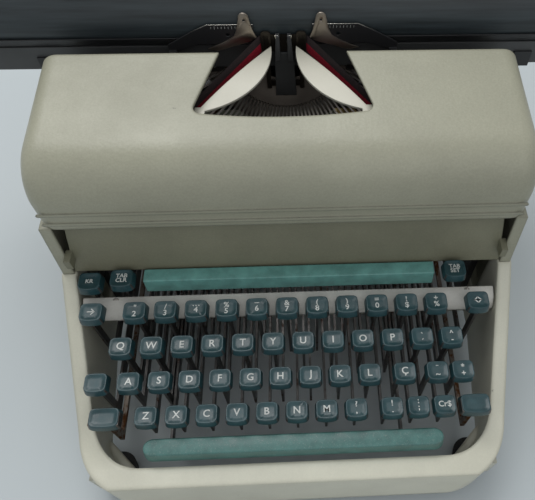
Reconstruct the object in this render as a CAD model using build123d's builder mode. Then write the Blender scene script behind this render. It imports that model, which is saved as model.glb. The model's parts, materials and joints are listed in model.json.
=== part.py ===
from build123d import *
import os
from math import asin, atan2, cos, degrees, hypot, pi, radians, sin, sqrt, tan

os.makedirs("parts", exist_ok=True)

# An office typewriter with a long carriage, standing on Z = 0.
# +X is to the typist's right, +Y to the back, +Z up. The origin is under the middle.

# ---- Body -------------------------------------------------------------------
BODY_DEPTH = 366.0
FRONT_Y = -BODY_DEPTH / 2
BACK_Y = BODY_DEPTH / 2
FOOT_HEIGHT = 12.0
FOOT_RADIUS = 11.0
FOOT_X = 122.0
FOOT_INSET = 26.0            # foot centre in from the front and back edges

FRAME_WIDTH = 292.0          # across the keyboard arms
NOSE_WIDTH = 274.0           # across the front, where the two sides would meet it
ARM_WALL = 9.0
FRONT_WALL = 13.0
REAR_WALL = 9.0
NOSE_RADIUS = 40.0
RAIL_TOP = 46.0              # top of the front rail
RAIL_LEAN = 4.5              # the front face leans back by this much
SLOPE_START_Y = -152.0
ARM_TOP = 110.2
ARM_TOP_Y = -59.0
ARM_BACK_Y = -47.0
LEDGE_TOP = 44.0             # the panels stand on this ledge
PAD_TOP = FOOT_HEIGHT + 8.0  # cross bars and corner pads of the frame
PAD_LEG = 34.0
CORNER_SHELF_TOP = 38.0      # shelves in the front corners of the ring
CORNER_SHELF_LENGTH = 32.0
CORNER_SHELF_DEPTH = 15.0
CROSS_BAR = 14.0
CROSS_BAR_YS = (-38.0, 150.0)

PANEL_WIDTH = 290.0          # across the side panels and the cover
PANEL_FLANGE = 7.0
SHEET = 1.5
PANEL_TOP = 154.0
PANEL_BACK_TOP = 158.0
GAP = 0.3                    # between bodies that move past each other
SEAT = 0.05                  # joint line between two parts fastened together

PANEL_FRONT_Y = -53.0        # front end of the side panels' top edge
PANEL_STEP_Y = 38.0
REAR_PANEL_TOP = 150.0
FRONT_PANEL_Y = -56.3
FRONT_PANEL_TOP_Y = -48.0
FRONT_PANEL_BOTTOM = 110.9
FRONT_PANEL_TOP = 151.3
FRONT_PANEL_TAPER = 5.0      # narrower at the top by this much a side
CLIP_WIDTH = 4.0              # clips that hold the front panel to the side panels
CLIP_DEPTH = 9.0
CLIP_HEIGHT = 8.0
CLIP_Y = -56.5
CLIP_Z = 122.0

COVER_FRONT_Y = -53.5
COVER_BACK_Y = 36.5
COVER_BOTTOM = PANEL_TOP + GAP
COVER_SKIRT = 17.0           # straight part below the roll
COVER_RADIUS = 30.0
COVER_SLOPE = 4.0
COVER_EDGE = 11.0            # rounding of the two ends
COVER_SIDE_GAP = 0.5
COVER_RIBS = (5.5, 14.5)
RIB_WIDTH = 2.4
RIB_DEPTH = 0.8
MOUTH_FRONT_WIDTH = 104.8
MOUTH_BACK_WIDTH = 76.0
MOUTH_FRONT_Y = -13.5
MOUTH_BOW = 4.0
MOUTH_RADIUS = 5.0
HINGE_Y = 32.5               # the cover swings on two pins near its back edge
HINGE_Z = 195.0
HINGE_BOSS = 3.9
HINGE_PIN = 2.0

# ---- Keyboard ---------------------------------------------------------------
PITCH = 19.05
ROW_STEP_Y = 18.4
ROW_STEP_Z = 12.5
FRONT_ROW_Y = -139.0         # row Z to M
FRONT_ROW_TOP = 69.9
CAP_WIDTH = 14.6
CAP_DEPTH = 11.6
CAP_HEIGHT = 5.0
CAP_CORNER = 1.6
SHIFT_CAP_WIDTH = 20.4
CAP_BULGE = 1.2              # how far the front edge bows out
LEVER_THICK = 1.6
LEVER_HEIGHT = 8.0
STEM_WIDTH = 5.0
LEVER_TAIL = 8.0             # lever behind its shaft
SHAFT_Y = 100.0
SHAFT_Z = 40.0
SHAFT_RADIUS = 2.0

# first key of each row, from the back row to the front row
ROW_START_X = (-97.7, -107.2, -103.2, -93.3)
ROW_LENGTH = (11, 12, 12, 11)

SPACE_BAR_LENGTH = 194.2
SPACE_BAR_DEPTH = 12.6
SPACE_BAR_HEIGHT = 9.0
SPACE_BAR_TOP = 57.3
SPACE_BAR_Y = -155.6
SPACE_ARM_XS = (-100.45 + PITCH, -100.45 + 9 * PITCH)

SHIFT_SHAFT_Y = 20.0
SHIFT_SHAFT_Z = 26.5
SHIFT_SHAFT_RADIUS = 4.0

SHIFT_KEY_XS = (-119.3, 117.2)
SHIFT_ARM = 3.0
TAB_SHAFT_Y = -30.0
TAB_SHAFT_Z = 94.0
TAB_BAR_LENGTH = 186.5
TAB_BAR_DEPTH = 9.0
TAB_BAR_HEIGHT = 12.0
TAB_BAR_TOP = 113.0
TAB_BAR_Y = -62.0
TAB_ARM_XS = (-70.0, 70.0)
TAB_LEVER = 8.0              # height of the levers on the tab shaft
TAB_KEY_Y = -64.5
TAB_KEY_TOP = 115.2
CAP_SHOULDER = 1.8           # depth of the round back of a cap
CAP_TAPER = 9.0
COMB_BACK_Y = -69.0
COMB_BACK_Z = 98.0
COMB_FRONT_Y = -79.8
COMB_FRONT_Z = 87.0
COMB_SHEET = 1.8

H_KEY = (2, 5)                # row and column of the key that is modelled to the print point
CAP_SHIFTS = {(2, 9): 3.5, (2, 10): 5.5, (2, 11): 3.0, (3, 8): 4.0, (3, 9): 2.0}
SHIFT_LOCK_X = -123.5

# ---- Mechanism frame inside the body ---------------------------------------------
PLATE_OUTER_X = 136.0
PLATE_THICK = 5.0
PLATE_FRONT_Y = -36.0
PLATE_BACK_Y = 172.0
PLATE_TOP = 160.0
PLATE_FRONT_TOP = 120.0
BEAM_Y = 78.0                # cross beam that the basket slides on
BEAM_THICK = 8.0
BEAM_BOTTOM = 118.0
BEAM_TOP = 142.0
REAR_BEAM = 6.0
REAR_BEAM_BOTTOM = 84.0
REAR_BEAM_TOP = 126.0
SHELF_TOP = 163.0
PLATE_LIP = 2.0               # side plates above the shelves
SHELF_THICK = 4.0
SHELF_INNER_X = 96.0

HOLDER_X = 69.5               # posts of the card holders
HOLDER_Y = 48.0
HOLDER_WIDTH = 5.0
SPINDLE_RADIUS = 2.0
DRUM_X = -95.0
DRUM_Z = 108.0
DRUM_RADIUS = 26.0
HAMMER_X = 30.0
HAMMER_Z = 98.0
ESCAPE_BRACKET_TOP = 159.0
ESCAPE_Z = 152.0

COLUMN_COUNT = 12            # columns of keys, shared out over the banks
BANK_COLUMNS = 2
RACK_Y = 110.0
RACK_WIDTH = 5.0
RACK_DEPTH = 5.5
PINION_RADIUS = 8.3
WHEEL_RADIUS = 13.0          # escapement wheel
WHEEL_TEETH = 18
BELL_X = 62.0
BELL_RADIUS = 22.0
BELL_TOP = 74.0
BELL_WALL = 1.5
HAMMER_END_Z = 64.0          # head of the hammer, beside the bell
HOLDER_TIP_X = 18.0          # inner ends of the card holders' scale plates
HOLDER_FACE_Y = 54.6
HOLDER_SHEET = 0.8
HOLDER_TOP = 211.0
HOLDER_BOTTOM = 197.0
FINGER_X = 23.5              # tips of the card fingers
FINGER_FOOT = 199.0
FINGER_BEND = 214.0
FINGER_TIP = 221.0
FINGER_PIVOT_X = 34.0
FINGER_PIVOT_Z = 204.0
FINGER_PIN = 1.2
FINGER_TIP_Y = 58.6
KNOB_FLUTES = 18
RATCHET_RADIUS = 14.0
RATCHET_TEETH = 28
BAIL_ROLLER_XS = (-120.0, 0.0, 120.0)

SPOOL_X = 100.0
SPOOL_Y = -14.0
SPOOL_RADIUS = 24.0
SPOOL_BOTTOM = 171.0
SPOOL_HEIGHT = 17.0
SPOOL_FLANGE = 1.5
RIBBON_PACK = 18.0
RIBBON_WIDTH = 12.7
RIBBON_THICK = 0.3

# ---- Printing point, platen and carriage ------------------------------------
POINT_Y = 57.0
POINT_Z = 207.0
PLATEN_RADIUS = 22.0
PLATEN_LENGTH = 394.0
PLATEN_Y = POINT_Y + PLATEN_RADIUS
CARRIAGE_LENGTH = 410.0      # over the end plates
END_PLATE = 5.0
KNOB_RADIUS = 19.0
KNOB_LENGTH = 24.0
SHAFT_LENGTH = 514.0         # platen shaft over the knobs
PLATEN_SHAFT_RADIUS = 4.0
FIT = 0.05                   # radial clearance of a shaft in its hole
RAIL_THICK = 6.0
BED_TOP = 170.0

RAIL_YS = (84.0, 128.0)      # front edges of the two carriage rails
RAIL_WIDTH = 12.0
BED_FRONT_Y = 80.0
BED_BACK_Y = 142.0
MARGIN_RAIL_Y = 61.0
MARGIN_RAIL_THICK = 2.5
MARGIN_RAIL_BOTTOM = 174.0
MARGIN_RAIL_TOP = 191.0
STOP_XS = (-152.0, 158.0)
STOP_WIDTH = 12.0
ROLLER_RADIUS = 5.0
ROLLER_SHAFT_RADIUS = 2.0
ROLLER_ANGLE = 22.0          # of the feed rollers, from straight under the platen
APRON_ANGLES = (198.0, 222.0)
APRON_GAP = 0.5
APRON_SHEET = 0.8
BAIL_PIVOT_Y = 104.0
BAIL_PIVOT_Z = 214.0
BAIL_ANGLE = 120.0           # of the resting bail, around the platen from the back
BAIL_ROLLER = 5.0
BAIL_ROD = 2.5
BAIL_ARM = 2.2
TABLE_TOP_Z = 262.0
TABLE_SHEET = 1.2
LEVER_PIN_Y = 59.0
LEVER_PIN_X = -214.0
LEVER_Z = 223.0
RETURN_LEVER_REACH = 58.0
RELEASE_PIVOT_Y = 118.0
RELEASE_PIVOT_Z = 196.0

# ---- Type basket ------------------------------------------------------------
STRIKE_Y = POINT_Y - 5.0     # centre line of a type bar when it prints
RIBBON_Y = POINT_Y - 0.8     # front face of the ribbon at the printing point
LOOP_X = 11.0                # loops of the ribbon vibrator
BAR_COUNT = 45
BASKET_TILT = 40.0           # of the segment's plane, from upright
PIVOT_RADIUS = 52.0
POINT_OFFSET = 32.0          # printing point in front of the segment's plane
FAN_ANGLE = 62.0             # outermost type bar, from straight down
REST_RISE = 45.0             # a resting bar, from the segment's plane
BAR_THICK = 1.1
BAR_LENGTH = hypot(PIVOT_RADIUS, POINT_OFFSET)
SLOT_CLEAR = 0.1
SEGMENT_WALL = 6.0           # in and out from the pivots
SLUG_WIDTH = 3.4
SLUG_FACE = 3.9              # printing face above the bar's centre line
SLUG_LEAN = 0.74             # the face is upright when the bar prints
SEGMENT_FLOOR = -9.0         # back of the segment, from the plane of the pivots
SEGMENT_FACE = 3.0
SEGMENT_WEB = 2.5
SEGMENT_FOOT_Y = 46.0
SLOT_FLOOR = -6.0
REST_AT = 0.8                # where the bars lie on their rest, along their length
GUIDE_FOOT = 153.05
GUIDE_TOP = 204.0
LOOP_WIDTH = 6.0
RIBBON_DROP = 4.5            # top edge of the ribbon under the printing point
VIBRATOR_BOTTOM = 160.0
YOKE_Y = POINT_Y + 0.3
GUARD_Z = 195.0
GUARD_TIP_X = 7.8
GUARD_TIP_Y = 53.0
GUARD_INNER_X = 20.0
GUARD_INNER_Y = 14.0
GUARD_FOOT_X = 50.5
GUARD_FOOT_Y = -3.5
GUARD_OUTER_X = 31.0
GUARD_OUTER_Y = 25.0
GUARD_POST_X = 48.5
GUARD_POST_Y = -31.0
STRAP_WIDTH = 6.0            # strap under the guards, from shelf to shelf


# ---- Rubber feet --------------------------------------------------------------
with BuildPart() as rubber_feet:
    with Locations(*[(x, y) for x in (-FOOT_X, FOOT_X)
                     for y in (FRONT_Y + FOOT_INSET, BACK_Y - FOOT_INSET)]):
        Cone(FOOT_RADIUS - 1.5, FOOT_RADIUS, FOOT_HEIGHT,
             align=(Align.CENTER, Align.CENTER, Align.MIN))
rubber_feet.part.label = "rubber_feet"
export_step(rubber_feet.part, "parts/rubber_feet.step")


# ---- Base frame: ring casting with two arms beside the keys --------------------
def frame_plan(side, front, back, radius):
    """Plan of the frame, moved in by side, front and back."""
    half, nose = FRAME_WIDTH / 2 - side, NOSE_WIDTH / 2 - side
    with BuildSketch(Plane.XY.offset(FOOT_HEIGHT)) as plan:
        with BuildLine():
            Polyline((-half, BACK_Y - back), (half, BACK_Y - back), (half, ARM_TOP_Y),
                     (nose, FRONT_Y + front), (-nose, FRONT_Y + front), (-half, ARM_TOP_Y),
                     close=True)
        make_face()
        fillet(plan.vertices().group_by(Axis.Y)[0], radius)
    return plan.sketch


def well_half_width(y):
    """Half the width of the keyboard well between the two arms, at depth y."""
    run = (ARM_TOP_Y - y) / (ARM_TOP_Y - FRONT_Y - FRONT_WALL - RAIL_LEAN)
    return FRAME_WIDTH / 2 - ARM_WALL - run * (FRAME_WIDTH - NOSE_WIDTH) / 2


with BuildPart() as base_frame:
    with BuildSketch(Plane.YZ):
        with BuildLine():
            Polyline((FRONT_Y, FOOT_HEIGHT), (FRONT_Y + RAIL_LEAN, RAIL_TOP),
                     (SLOPE_START_Y, RAIL_TOP), (ARM_TOP_Y, ARM_TOP), (ARM_BACK_Y, ARM_TOP),
                     (ARM_BACK_Y, LEDGE_TOP), (BACK_Y, LEDGE_TOP), (BACK_Y, FOOT_HEIGHT),
                     close=True)
        make_face()
    extrude(amount=FRAME_WIDTH / 2, both=True)
    cross_edges = base_frame.edges().filter_by(Axis.X)
    fillet(cross_edges.sort_by_distance((0, SLOPE_START_Y, RAIL_TOP))[0], 45)
    cross_edges = base_frame.edges().filter_by(Axis.X)
    fillet(cross_edges.sort_by_distance((0, ARM_TOP_Y, ARM_TOP))[0], 9)
    extrude(frame_plan(0, 0, 0, NOSE_RADIUS), amount=ARM_TOP, mode=Mode.INTERSECT)
    extrude(frame_plan(ARM_WALL, FRONT_WALL + RAIL_LEAN, REAR_WALL, NOSE_RADIUS - ARM_WALL),
            amount=ARM_TOP, mode=Mode.SUBTRACT)
    with BuildSketch(Plane.XY.offset(FOOT_HEIGHT)):
        with Locations(*[(0, y) for y in CROSS_BAR_YS]):
            Rectangle(FRAME_WIDTH - ARM_WALL, CROSS_BAR)
        for side in (-1, 1):
            for end, inward in ((FRONT_Y + FRONT_WALL, 1), (BACK_Y - REAR_WALL / 2, -1)):
                corner_x = side * (FRAME_WIDTH / 2 - 1.4 * ARM_WALL)
                with BuildLine():
                    Polyline((corner_x, end), (corner_x - side * PAD_LEG, end),
                             (corner_x, end + inward * PAD_LEG), close=True)
                make_face()
    extrude(amount=PAD_TOP - FOOT_HEIGHT)
    with BuildSketch(Plane.XY.offset(FOOT_HEIGHT)):
        for side in (-1, 1):
            corner_x = side * (FRAME_WIDTH / 2 - 1.4 * ARM_WALL)
            shelf_y = FRONT_Y + FRONT_WALL
            with BuildLine():
                Polyline((corner_x, shelf_y), (corner_x - side * CORNER_SHELF_LENGTH, shelf_y),
                         (corner_x, shelf_y + CORNER_SHELF_DEPTH), close=True)
            make_face()
    extrude(amount=CORNER_SHELF_TOP - FOOT_HEIGHT)
base_frame.part.label = "base_frame"
export_step(base_frame.part, "parts/base_frame.step")


# ---- Side panels: formed sheet with a flange all round ---------------------------
def side_panel_outline(inset):
    with BuildSketch(Plane.YZ) as outline:
        with BuildLine():
            Polyline((ARM_BACK_Y + GAP, LEDGE_TOP), (ARM_BACK_Y + GAP, ARM_TOP + GAP),
                     (ARM_TOP_Y + 1, ARM_TOP + GAP), (PANEL_FRONT_Y, PANEL_TOP),
                     (PANEL_STEP_Y, PANEL_TOP), (PANEL_STEP_Y + 8, PANEL_BACK_TOP),
                     (BACK_Y, PANEL_BACK_TOP), (BACK_Y, LEDGE_TOP), close=True)
        make_face()
        if inset:
            offset(amount=-inset, mode=Mode.REPLACE)
    return outline.sketch


for side, panel_name in ((-1, "side_panel_left"), (1, "side_panel_right")):
    with BuildPart() as side_panel:
        extrude(side_panel_outline(0).moved(Location((side * PANEL_WIDTH / 2, 0, 0))),
                amount=-side * PANEL_FLANGE)
        extrude(side_panel_outline(SHEET).moved(Location((side * (PANEL_WIDTH / 2 - SHEET), 0, 0))),
                amount=-side * PANEL_FLANGE, mode=Mode.SUBTRACT)
    side_panel.part.label = panel_name
    export_step(side_panel.part, f"parts/{panel_name}.step")

# ---- Rear panel with vent slots ---------------------------------------------------
with BuildPart() as rear_panel:
    with BuildSketch(Plane.XZ.offset(-BACK_Y)):
        with Locations((0, (LEDGE_TOP + REAR_PANEL_TOP) / 2)):
            Rectangle(PANEL_WIDTH - 2 * PANEL_FLANGE - 2 * GAP, REAR_PANEL_TOP - LEDGE_TOP)
        with Locations((0, REAR_PANEL_TOP - 30)):
            with GridLocations(60, 12, 4, 3):
                SlotOverall(46, 5, mode=Mode.SUBTRACT)
    extrude(amount=SHEET)
rear_panel.part.label = "rear_panel"
export_step(rear_panel.part, "parts/rear_panel.step")

# ---- Front panel, leaning back between the side panels --------------------------
FRONT_PANEL_LEAN = atan2(FRONT_PANEL_TOP_Y - FRONT_PANEL_Y, FRONT_PANEL_TOP - FRONT_PANEL_BOTTOM)
FRONT_PANEL_HEIGHT = hypot(FRONT_PANEL_TOP_Y - FRONT_PANEL_Y,
                           FRONT_PANEL_TOP - FRONT_PANEL_BOTTOM)
front_panel_plane = Plane(origin=(0, FRONT_PANEL_Y, FRONT_PANEL_BOTTOM), x_dir=(1, 0, 0),
                          z_dir=(0, -cos(FRONT_PANEL_LEAN), sin(FRONT_PANEL_LEAN)))
with BuildPart() as front_panel:
    with BuildSketch(front_panel_plane):
        with BuildLine():
            wide = PANEL_WIDTH / 2 - PANEL_FLANGE - GAP
            narrow = wide - FRONT_PANEL_TAPER
            Polyline((-wide, 0), (wide, 0), (narrow, FRONT_PANEL_HEIGHT),
                     (-narrow, FRONT_PANEL_HEIGHT), close=True)
        make_face()
    extrude(amount=-SHEET)
    with BuildSketch(Plane.XY.offset(CLIP_Z)):
        for side in (-1, 1):
            with Locations((side * (PANEL_WIDTH / 2 - PANEL_FLANGE - SEAT - CLIP_WIDTH / 2), CLIP_Y)):
                Rectangle(CLIP_WIDTH, CLIP_DEPTH)
    extrude(amount=CLIP_HEIGHT)
front_panel.part.label = "front_panel"
export_step(front_panel.part, "parts/front_panel.step")


# ---- Top cover: rolled sheet hood, open to the back over the type basket -------------
def hood(inset):
    """Solid hood, moved in by inset on every side but the bottom."""
    radius = COVER_RADIUS - inset
    front, arc_z = COVER_FRONT_Y + inset, COVER_BOTTOM + COVER_SKIRT
    slope = radians(COVER_SLOPE)
    arc_end = (front + radius * (1 - sin(slope)), arc_z + radius * cos(slope))
    arc_mid = (front + radius * (1 - cos(pi / 4)), arc_z + radius * sin(pi / 4))
    back = COVER_BACK_Y + (1 if inset else 0)
    with BuildPart() as body:
        with BuildSketch(Plane.YZ):
            with BuildLine():
                Line((front, COVER_BOTTOM), (front, arc_z))
                ThreePointArc((front, arc_z), arc_mid, arc_end)
                Polyline(arc_end, (back, arc_end[1] + (back - arc_end[0]) * tan(slope)),
                         (back, COVER_BOTTOM), (front, COVER_BOTTOM))
            make_face()
        extrude(amount=PANEL_WIDTH / 2 - COVER_SIDE_GAP - inset, both=True)
        ends = body.faces().sort_by(Axis.X)
        rims = [edge for face in (ends[0], ends[-1]) for edge in face.edges()
                if edge.center().Z > arc_z + 5 and edge.center().Y < back - 1]
        fillet(rims, COVER_EDGE - inset)
    return body.part


outer_hood = hood(0)
inner_hood = hood(SHEET)
with BuildPart() as top_cover:
    add(outer_hood)
    add(inner_hood, mode=Mode.SUBTRACT)
    with BuildSketch(Plane.XY.offset(COVER_BOTTOM + COVER_SKIRT)) as mouth:
        with BuildLine():
            Polyline((-MOUTH_FRONT_WIDTH / 2, MOUTH_FRONT_Y + MOUTH_BOW),
                     (-MOUTH_BACK_WIDTH / 2, COVER_BACK_Y + 1),
                     (MOUTH_BACK_WIDTH / 2, COVER_BACK_Y + 1),
                     (MOUTH_FRONT_WIDTH / 2, MOUTH_FRONT_Y + MOUTH_BOW))
            ThreePointArc((MOUTH_FRONT_WIDTH / 2, MOUTH_FRONT_Y + MOUTH_BOW),
                          (0, MOUTH_FRONT_Y),
                          (-MOUTH_FRONT_WIDTH / 2, MOUTH_FRONT_Y + MOUTH_BOW))
        make_face()
        fillet(mouth.vertices().group_by(Axis.Y)[0], MOUTH_RADIUS)
    extrude(amount=80, mode=Mode.SUBTRACT)
    for height in COVER_RIBS:
        with BuildSketch(Plane.XZ.offset(-COVER_FRONT_Y)):
            with Locations((0, COVER_BOTTOM + height)):
                SlotOverall(PANEL_WIDTH - 2 * COVER_SIDE_GAP - 8, RIB_WIDTH)
        extrude(amount=RIB_DEPTH)
    for side in (-1, 1):
        ear_x = side * (PLATE_OUTER_X - PLATE_THICK - GAP)
        with BuildSketch(Plane.YZ.offset(ear_x)):
            with Locations((HINGE_Y, HINGE_Z)):
                Circle(HINGE_BOSS)
                Rectangle(2 * HINGE_BOSS, HINGE_BOSS + 5, align=(Align.CENTER, Align.MIN))
        extrude(amount=-side * SHEET)
        with BuildSketch(Plane.YZ.offset(ear_x)):
            with Locations((HINGE_Y, HINGE_Z)):
                Circle(HINGE_PIN)
        extrude(amount=side * PLATE_THICK)
top_cover.part.label = "top_cover"
export_step(top_cover.part, "parts/top_cover.step")


# ---- Mechanism frame: two side plates, beams and the spool shelves ---------------
with BuildPart() as mechanism_frame:
    with BuildSketch(Plane.YZ.offset(-PLATE_OUTER_X)):
        with BuildLine():
            Polyline((PLATE_FRONT_Y, PAD_TOP), (PLATE_FRONT_Y, PLATE_FRONT_TOP),
                     (PLATE_FRONT_Y + 24, SHELF_TOP + PLATE_LIP),
                     (BEAM_Y - 24, SHELF_TOP + PLATE_LIP),
                     (BEAM_Y - 20, PLATE_TOP), (PLATE_BACK_Y, PLATE_TOP),
                     (PLATE_BACK_Y, PAD_TOP), close=True)
        make_face()
        with Locations((SHIFT_SHAFT_Y, SHIFT_SHAFT_Z)):
            Circle(SHIFT_SHAFT_RADIUS + FIT, mode=Mode.SUBTRACT)
        with Locations((SHAFT_Y, SHAFT_Z), (TAB_SHAFT_Y, TAB_SHAFT_Z)):
            Circle(SHAFT_RADIUS + FIT, mode=Mode.SUBTRACT)
        with Locations((14, 84), (126, 90)):
            RectangleRounded(58, 66, 12, mode=Mode.SUBTRACT)
    extrude(amount=PLATE_THICK)
    # brackets for the cover's hinge pins, bolted on top of the plates
    with BuildSketch(Plane.YZ.offset(-PLATE_OUTER_X)):
        with Locations((HINGE_Y, HINGE_Z)):
            Circle(HINGE_BOSS)
            Rectangle(2 * HINGE_BOSS, HINGE_Z - SHELF_TOP - PLATE_LIP - SEAT,
                      align=(Align.CENTER, Align.MAX))
            Circle(HINGE_PIN + FIT, mode=Mode.SUBTRACT)
    extrude(amount=PLATE_THICK)
    mirror(about=Plane.YZ)
    inner_span = 2 * (PLATE_OUTER_X - PLATE_THICK / 2)
    with BuildSketch(Plane.XZ.offset(-BEAM_Y)):
        with Locations((0, (BEAM_BOTTOM + BEAM_TOP) / 2)):
            Rectangle(inner_span, BEAM_TOP - BEAM_BOTTOM)
    extrude(amount=-BEAM_THICK)
    with BuildSketch(Plane.XZ.offset(-(PLATE_BACK_Y - REAR_BEAM))):
        with Locations((0, (REAR_BEAM_BOTTOM + REAR_BEAM_TOP) / 2)):
            Rectangle(inner_span, REAR_BEAM_TOP - REAR_BEAM_BOTTOM)
        with Locations((DRUM_X, DRUM_Z), (HAMMER_X, HAMMER_Z)):
            Circle(SHAFT_RADIUS + FIT, mode=Mode.SUBTRACT)
    extrude(amount=-REAR_BEAM)
    with BuildSketch(Plane.XY.offset(SHELF_TOP)):
        for side in (-1, 1):
            with Locations((side * (SHELF_INNER_X + PLATE_OUTER_X - 1) / 2, SPOOL_Y)):
                Rectangle(PLATE_OUTER_X - 1 - SHELF_INNER_X, 40)
            with Locations((side * (HOLDER_X - HOLDER_WIDTH / 2 + PLATE_OUTER_X - 1) / 2, HOLDER_Y)):
                Rectangle(PLATE_OUTER_X - 1 - HOLDER_X + HOLDER_WIDTH / 2, HOLDER_WIDTH + 3)
            with Locations((side * (PLATE_OUTER_X - PLATE_THICK), (SPOOL_Y + HOLDER_Y) / 2)):
                Rectangle(2 * PLATE_THICK, HOLDER_Y - SPOOL_Y)
        # a loose strap, spot-welded between the two shelves
        with Locations((0, GUARD_POST_Y)):
            Rectangle(2 * (SHELF_INNER_X - SEAT), STRAP_WIDTH)
    extrude(amount=-SHELF_THICK)
    for side in (-1, 1):
        with BuildSketch(Plane.XY.offset(SHELF_TOP)):
            with Locations((side * SPOOL_X, SPOOL_Y)):
                Circle(SPINDLE_RADIUS)
        extrude(amount=SPOOL_BOTTOM + SPOOL_HEIGHT - SHELF_TOP)
        with BuildSketch(Plane.XY.offset(SHELF_TOP)):
            with Locations((side * SPOOL_X, SPOOL_Y)):
                Circle(3 * SPINDLE_RADIUS)
        extrude(amount=SPOOL_BOTTOM - GAP - SHELF_TOP)
    with BuildSketch(Plane.XZ.offset(-(BEAM_Y + BEAM_THICK))):
        with Locations((0, (BEAM_BOTTOM + ESCAPE_BRACKET_TOP) / 2)):
            Rectangle(24, ESCAPE_BRACKET_TOP - BEAM_BOTTOM)
        with Locations((0, ESCAPE_Z)):
            Circle(SHAFT_RADIUS + FIT, mode=Mode.SUBTRACT)
    extrude(amount=-4)
mechanism_frame.part.label = "mechanism_frame"
export_step(mechanism_frame.part, "parts/mechanism_frame.step")

with BuildPart() as lever_shafts:
    with BuildSketch(Plane.YZ.offset(-PLATE_OUTER_X)):
        with Locations((SHAFT_Y, SHAFT_Z), (TAB_SHAFT_Y, TAB_SHAFT_Z)):
            Circle(SHAFT_RADIUS)
    extrude(amount=2 * PLATE_OUTER_X)
lever_shafts.part.label = "lever_shafts"
export_step(lever_shafts.part, "parts/lever_shafts.step")


# ---- Keys: moulded caps on steel levers --------------------------------------------
def cap_outline(x, y, z, width):
    """A key cap from above: round at the back, bowed at the front."""
    front, back = y - CAP_DEPTH / 2, y + CAP_DEPTH / 2
    with BuildSketch(Plane.XY.offset(z)) as outline:
        with BuildLine():
            ThreePointArc((x - width / 2, front), (x, front - CAP_BULGE), (x + width / 2, front))
            Line((x + width / 2, front), (x + width / 2, back - CAP_SHOULDER))
            ThreePointArc((x + width / 2, back - CAP_SHOULDER), (x, back),
                          (x - width / 2, back - CAP_SHOULDER))
            Line((x - width / 2, back - CAP_SHOULDER), (x - width / 2, front))
        make_face()
        fillet(outline.vertices(), CAP_CORNER)
    return outline.sketch


def lever_outline(x, tip_y, stem_top, shaft_y, shaft_z, height, thick):
    """Side view of a key lever: notch over its shaft, bar forward, stem up."""
    bottom, top = shaft_z - height / 4, shaft_z + height * 3 / 4
    notch_top = shaft_z + (SHAFT_RADIUS + GAP) * sqrt(2)
    notch_half = notch_top - bottom
    stem_back = tip_y + STEM_WIDTH / 2
    with BuildSketch(Plane.YZ.offset(x - thick / 2)) as side_view:
        with BuildLine():
            Polyline((tip_y - STEM_WIDTH / 2, bottom), (shaft_y - notch_half, bottom),
                     (shaft_y, notch_top), (shaft_y + notch_half, bottom),
                     (shaft_y + LEVER_TAIL, bottom), (shaft_y + LEVER_TAIL, top),
                     (stem_back, top), (stem_back, stem_top),
                     (tip_y - STEM_WIDTH / 2, stem_top), close=True)
        make_face()
    return side_view.sketch


def row_y(row):
    return FRONT_ROW_Y + (3 - row) * ROW_STEP_Y


def row_top(row):
    return FRONT_ROW_TOP + (3 - row) * ROW_STEP_Z


def key(row, column):
    """Cap and lever of one character key, as two solids."""
    x = ROW_START_X[row] + column * PITCH
    shift = CAP_SHIFTS.get((row, column), 0)
    cap_bottom = row_top(row) - CAP_HEIGHT
    with BuildPart() as solids:
        extrude(cap_outline(x + shift, row_y(row), cap_bottom, CAP_WIDTH), amount=CAP_HEIGHT,
                taper=CAP_TAPER)
        extrude(lever_outline(x, row_y(row), cap_bottom - SEAT, SHAFT_Y, SHAFT_Z,
                              LEVER_HEIGHT, LEVER_THICK), amount=LEVER_THICK)
    return solids.part


def function_key(cap_x, lever_x, y, top, width, shaft, height, thick):
    """Cap and lever of one function key on the shaft at (y, z)."""
    cap_bottom = top - CAP_HEIGHT
    with BuildPart() as solids:
        extrude(cap_outline(cap_x, y, cap_bottom, width), amount=CAP_HEIGHT, taper=CAP_TAPER)
        extrude(lever_outline(lever_x, y, cap_bottom - SEAT, *shaft, height, thick), amount=thick)
    return solids.part


for bank in range(COLUMN_COUNT // BANK_COLUMNS):
    with BuildPart() as keys_bank:
        for column in range(bank * BANK_COLUMNS, (bank + 1) * BANK_COLUMNS):
            for row in range(4):
                if column < ROW_LENGTH[row] and (row, column) != H_KEY:
                    add(key(row, column))
    keys_bank.part.label = f"keys_bank_{bank + 1}"
    export_step(keys_bank.part, f"parts/keys_bank_{bank + 1}.step")

key_h = key(*H_KEY)
key_h.label = "key_h"
export_step(key_h, "parts/key_h.step")

FUNCTION_KEYS = (
    ("backspace_key", -124.5, -127.5, row_y(0), row_top(0), SHAFT_Y, SHAFT_Z, LEVER_HEIGHT),
    ("margin_release_key", 119.8, 121.5, row_y(0), row_top(0), SHAFT_Y, SHAFT_Z, LEVER_HEIGHT),
    ("key_release_key", -127.0, -127.0, TAB_KEY_Y, TAB_KEY_TOP - 3, TAB_SHAFT_Y, TAB_SHAFT_Z,
     TAB_LEVER),
    ("tab_clear_key", -106.2, -106.2, TAB_KEY_Y, TAB_KEY_TOP, TAB_SHAFT_Y, TAB_SHAFT_Z,
     TAB_LEVER),
    ("tab_set_key", 106.2, 106.2, TAB_KEY_Y, TAB_KEY_TOP, TAB_SHAFT_Y, TAB_SHAFT_Z, TAB_LEVER),
)
for name, cap_x, lever_x, y, top, shaft_y, shaft_z, height in FUNCTION_KEYS:
    solids = function_key(cap_x, lever_x, y, top, CAP_WIDTH, (shaft_y, shaft_z), height,
                          LEVER_THICK)
    solids.label = name
    export_step(solids, f"parts/{name}.step")

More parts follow.
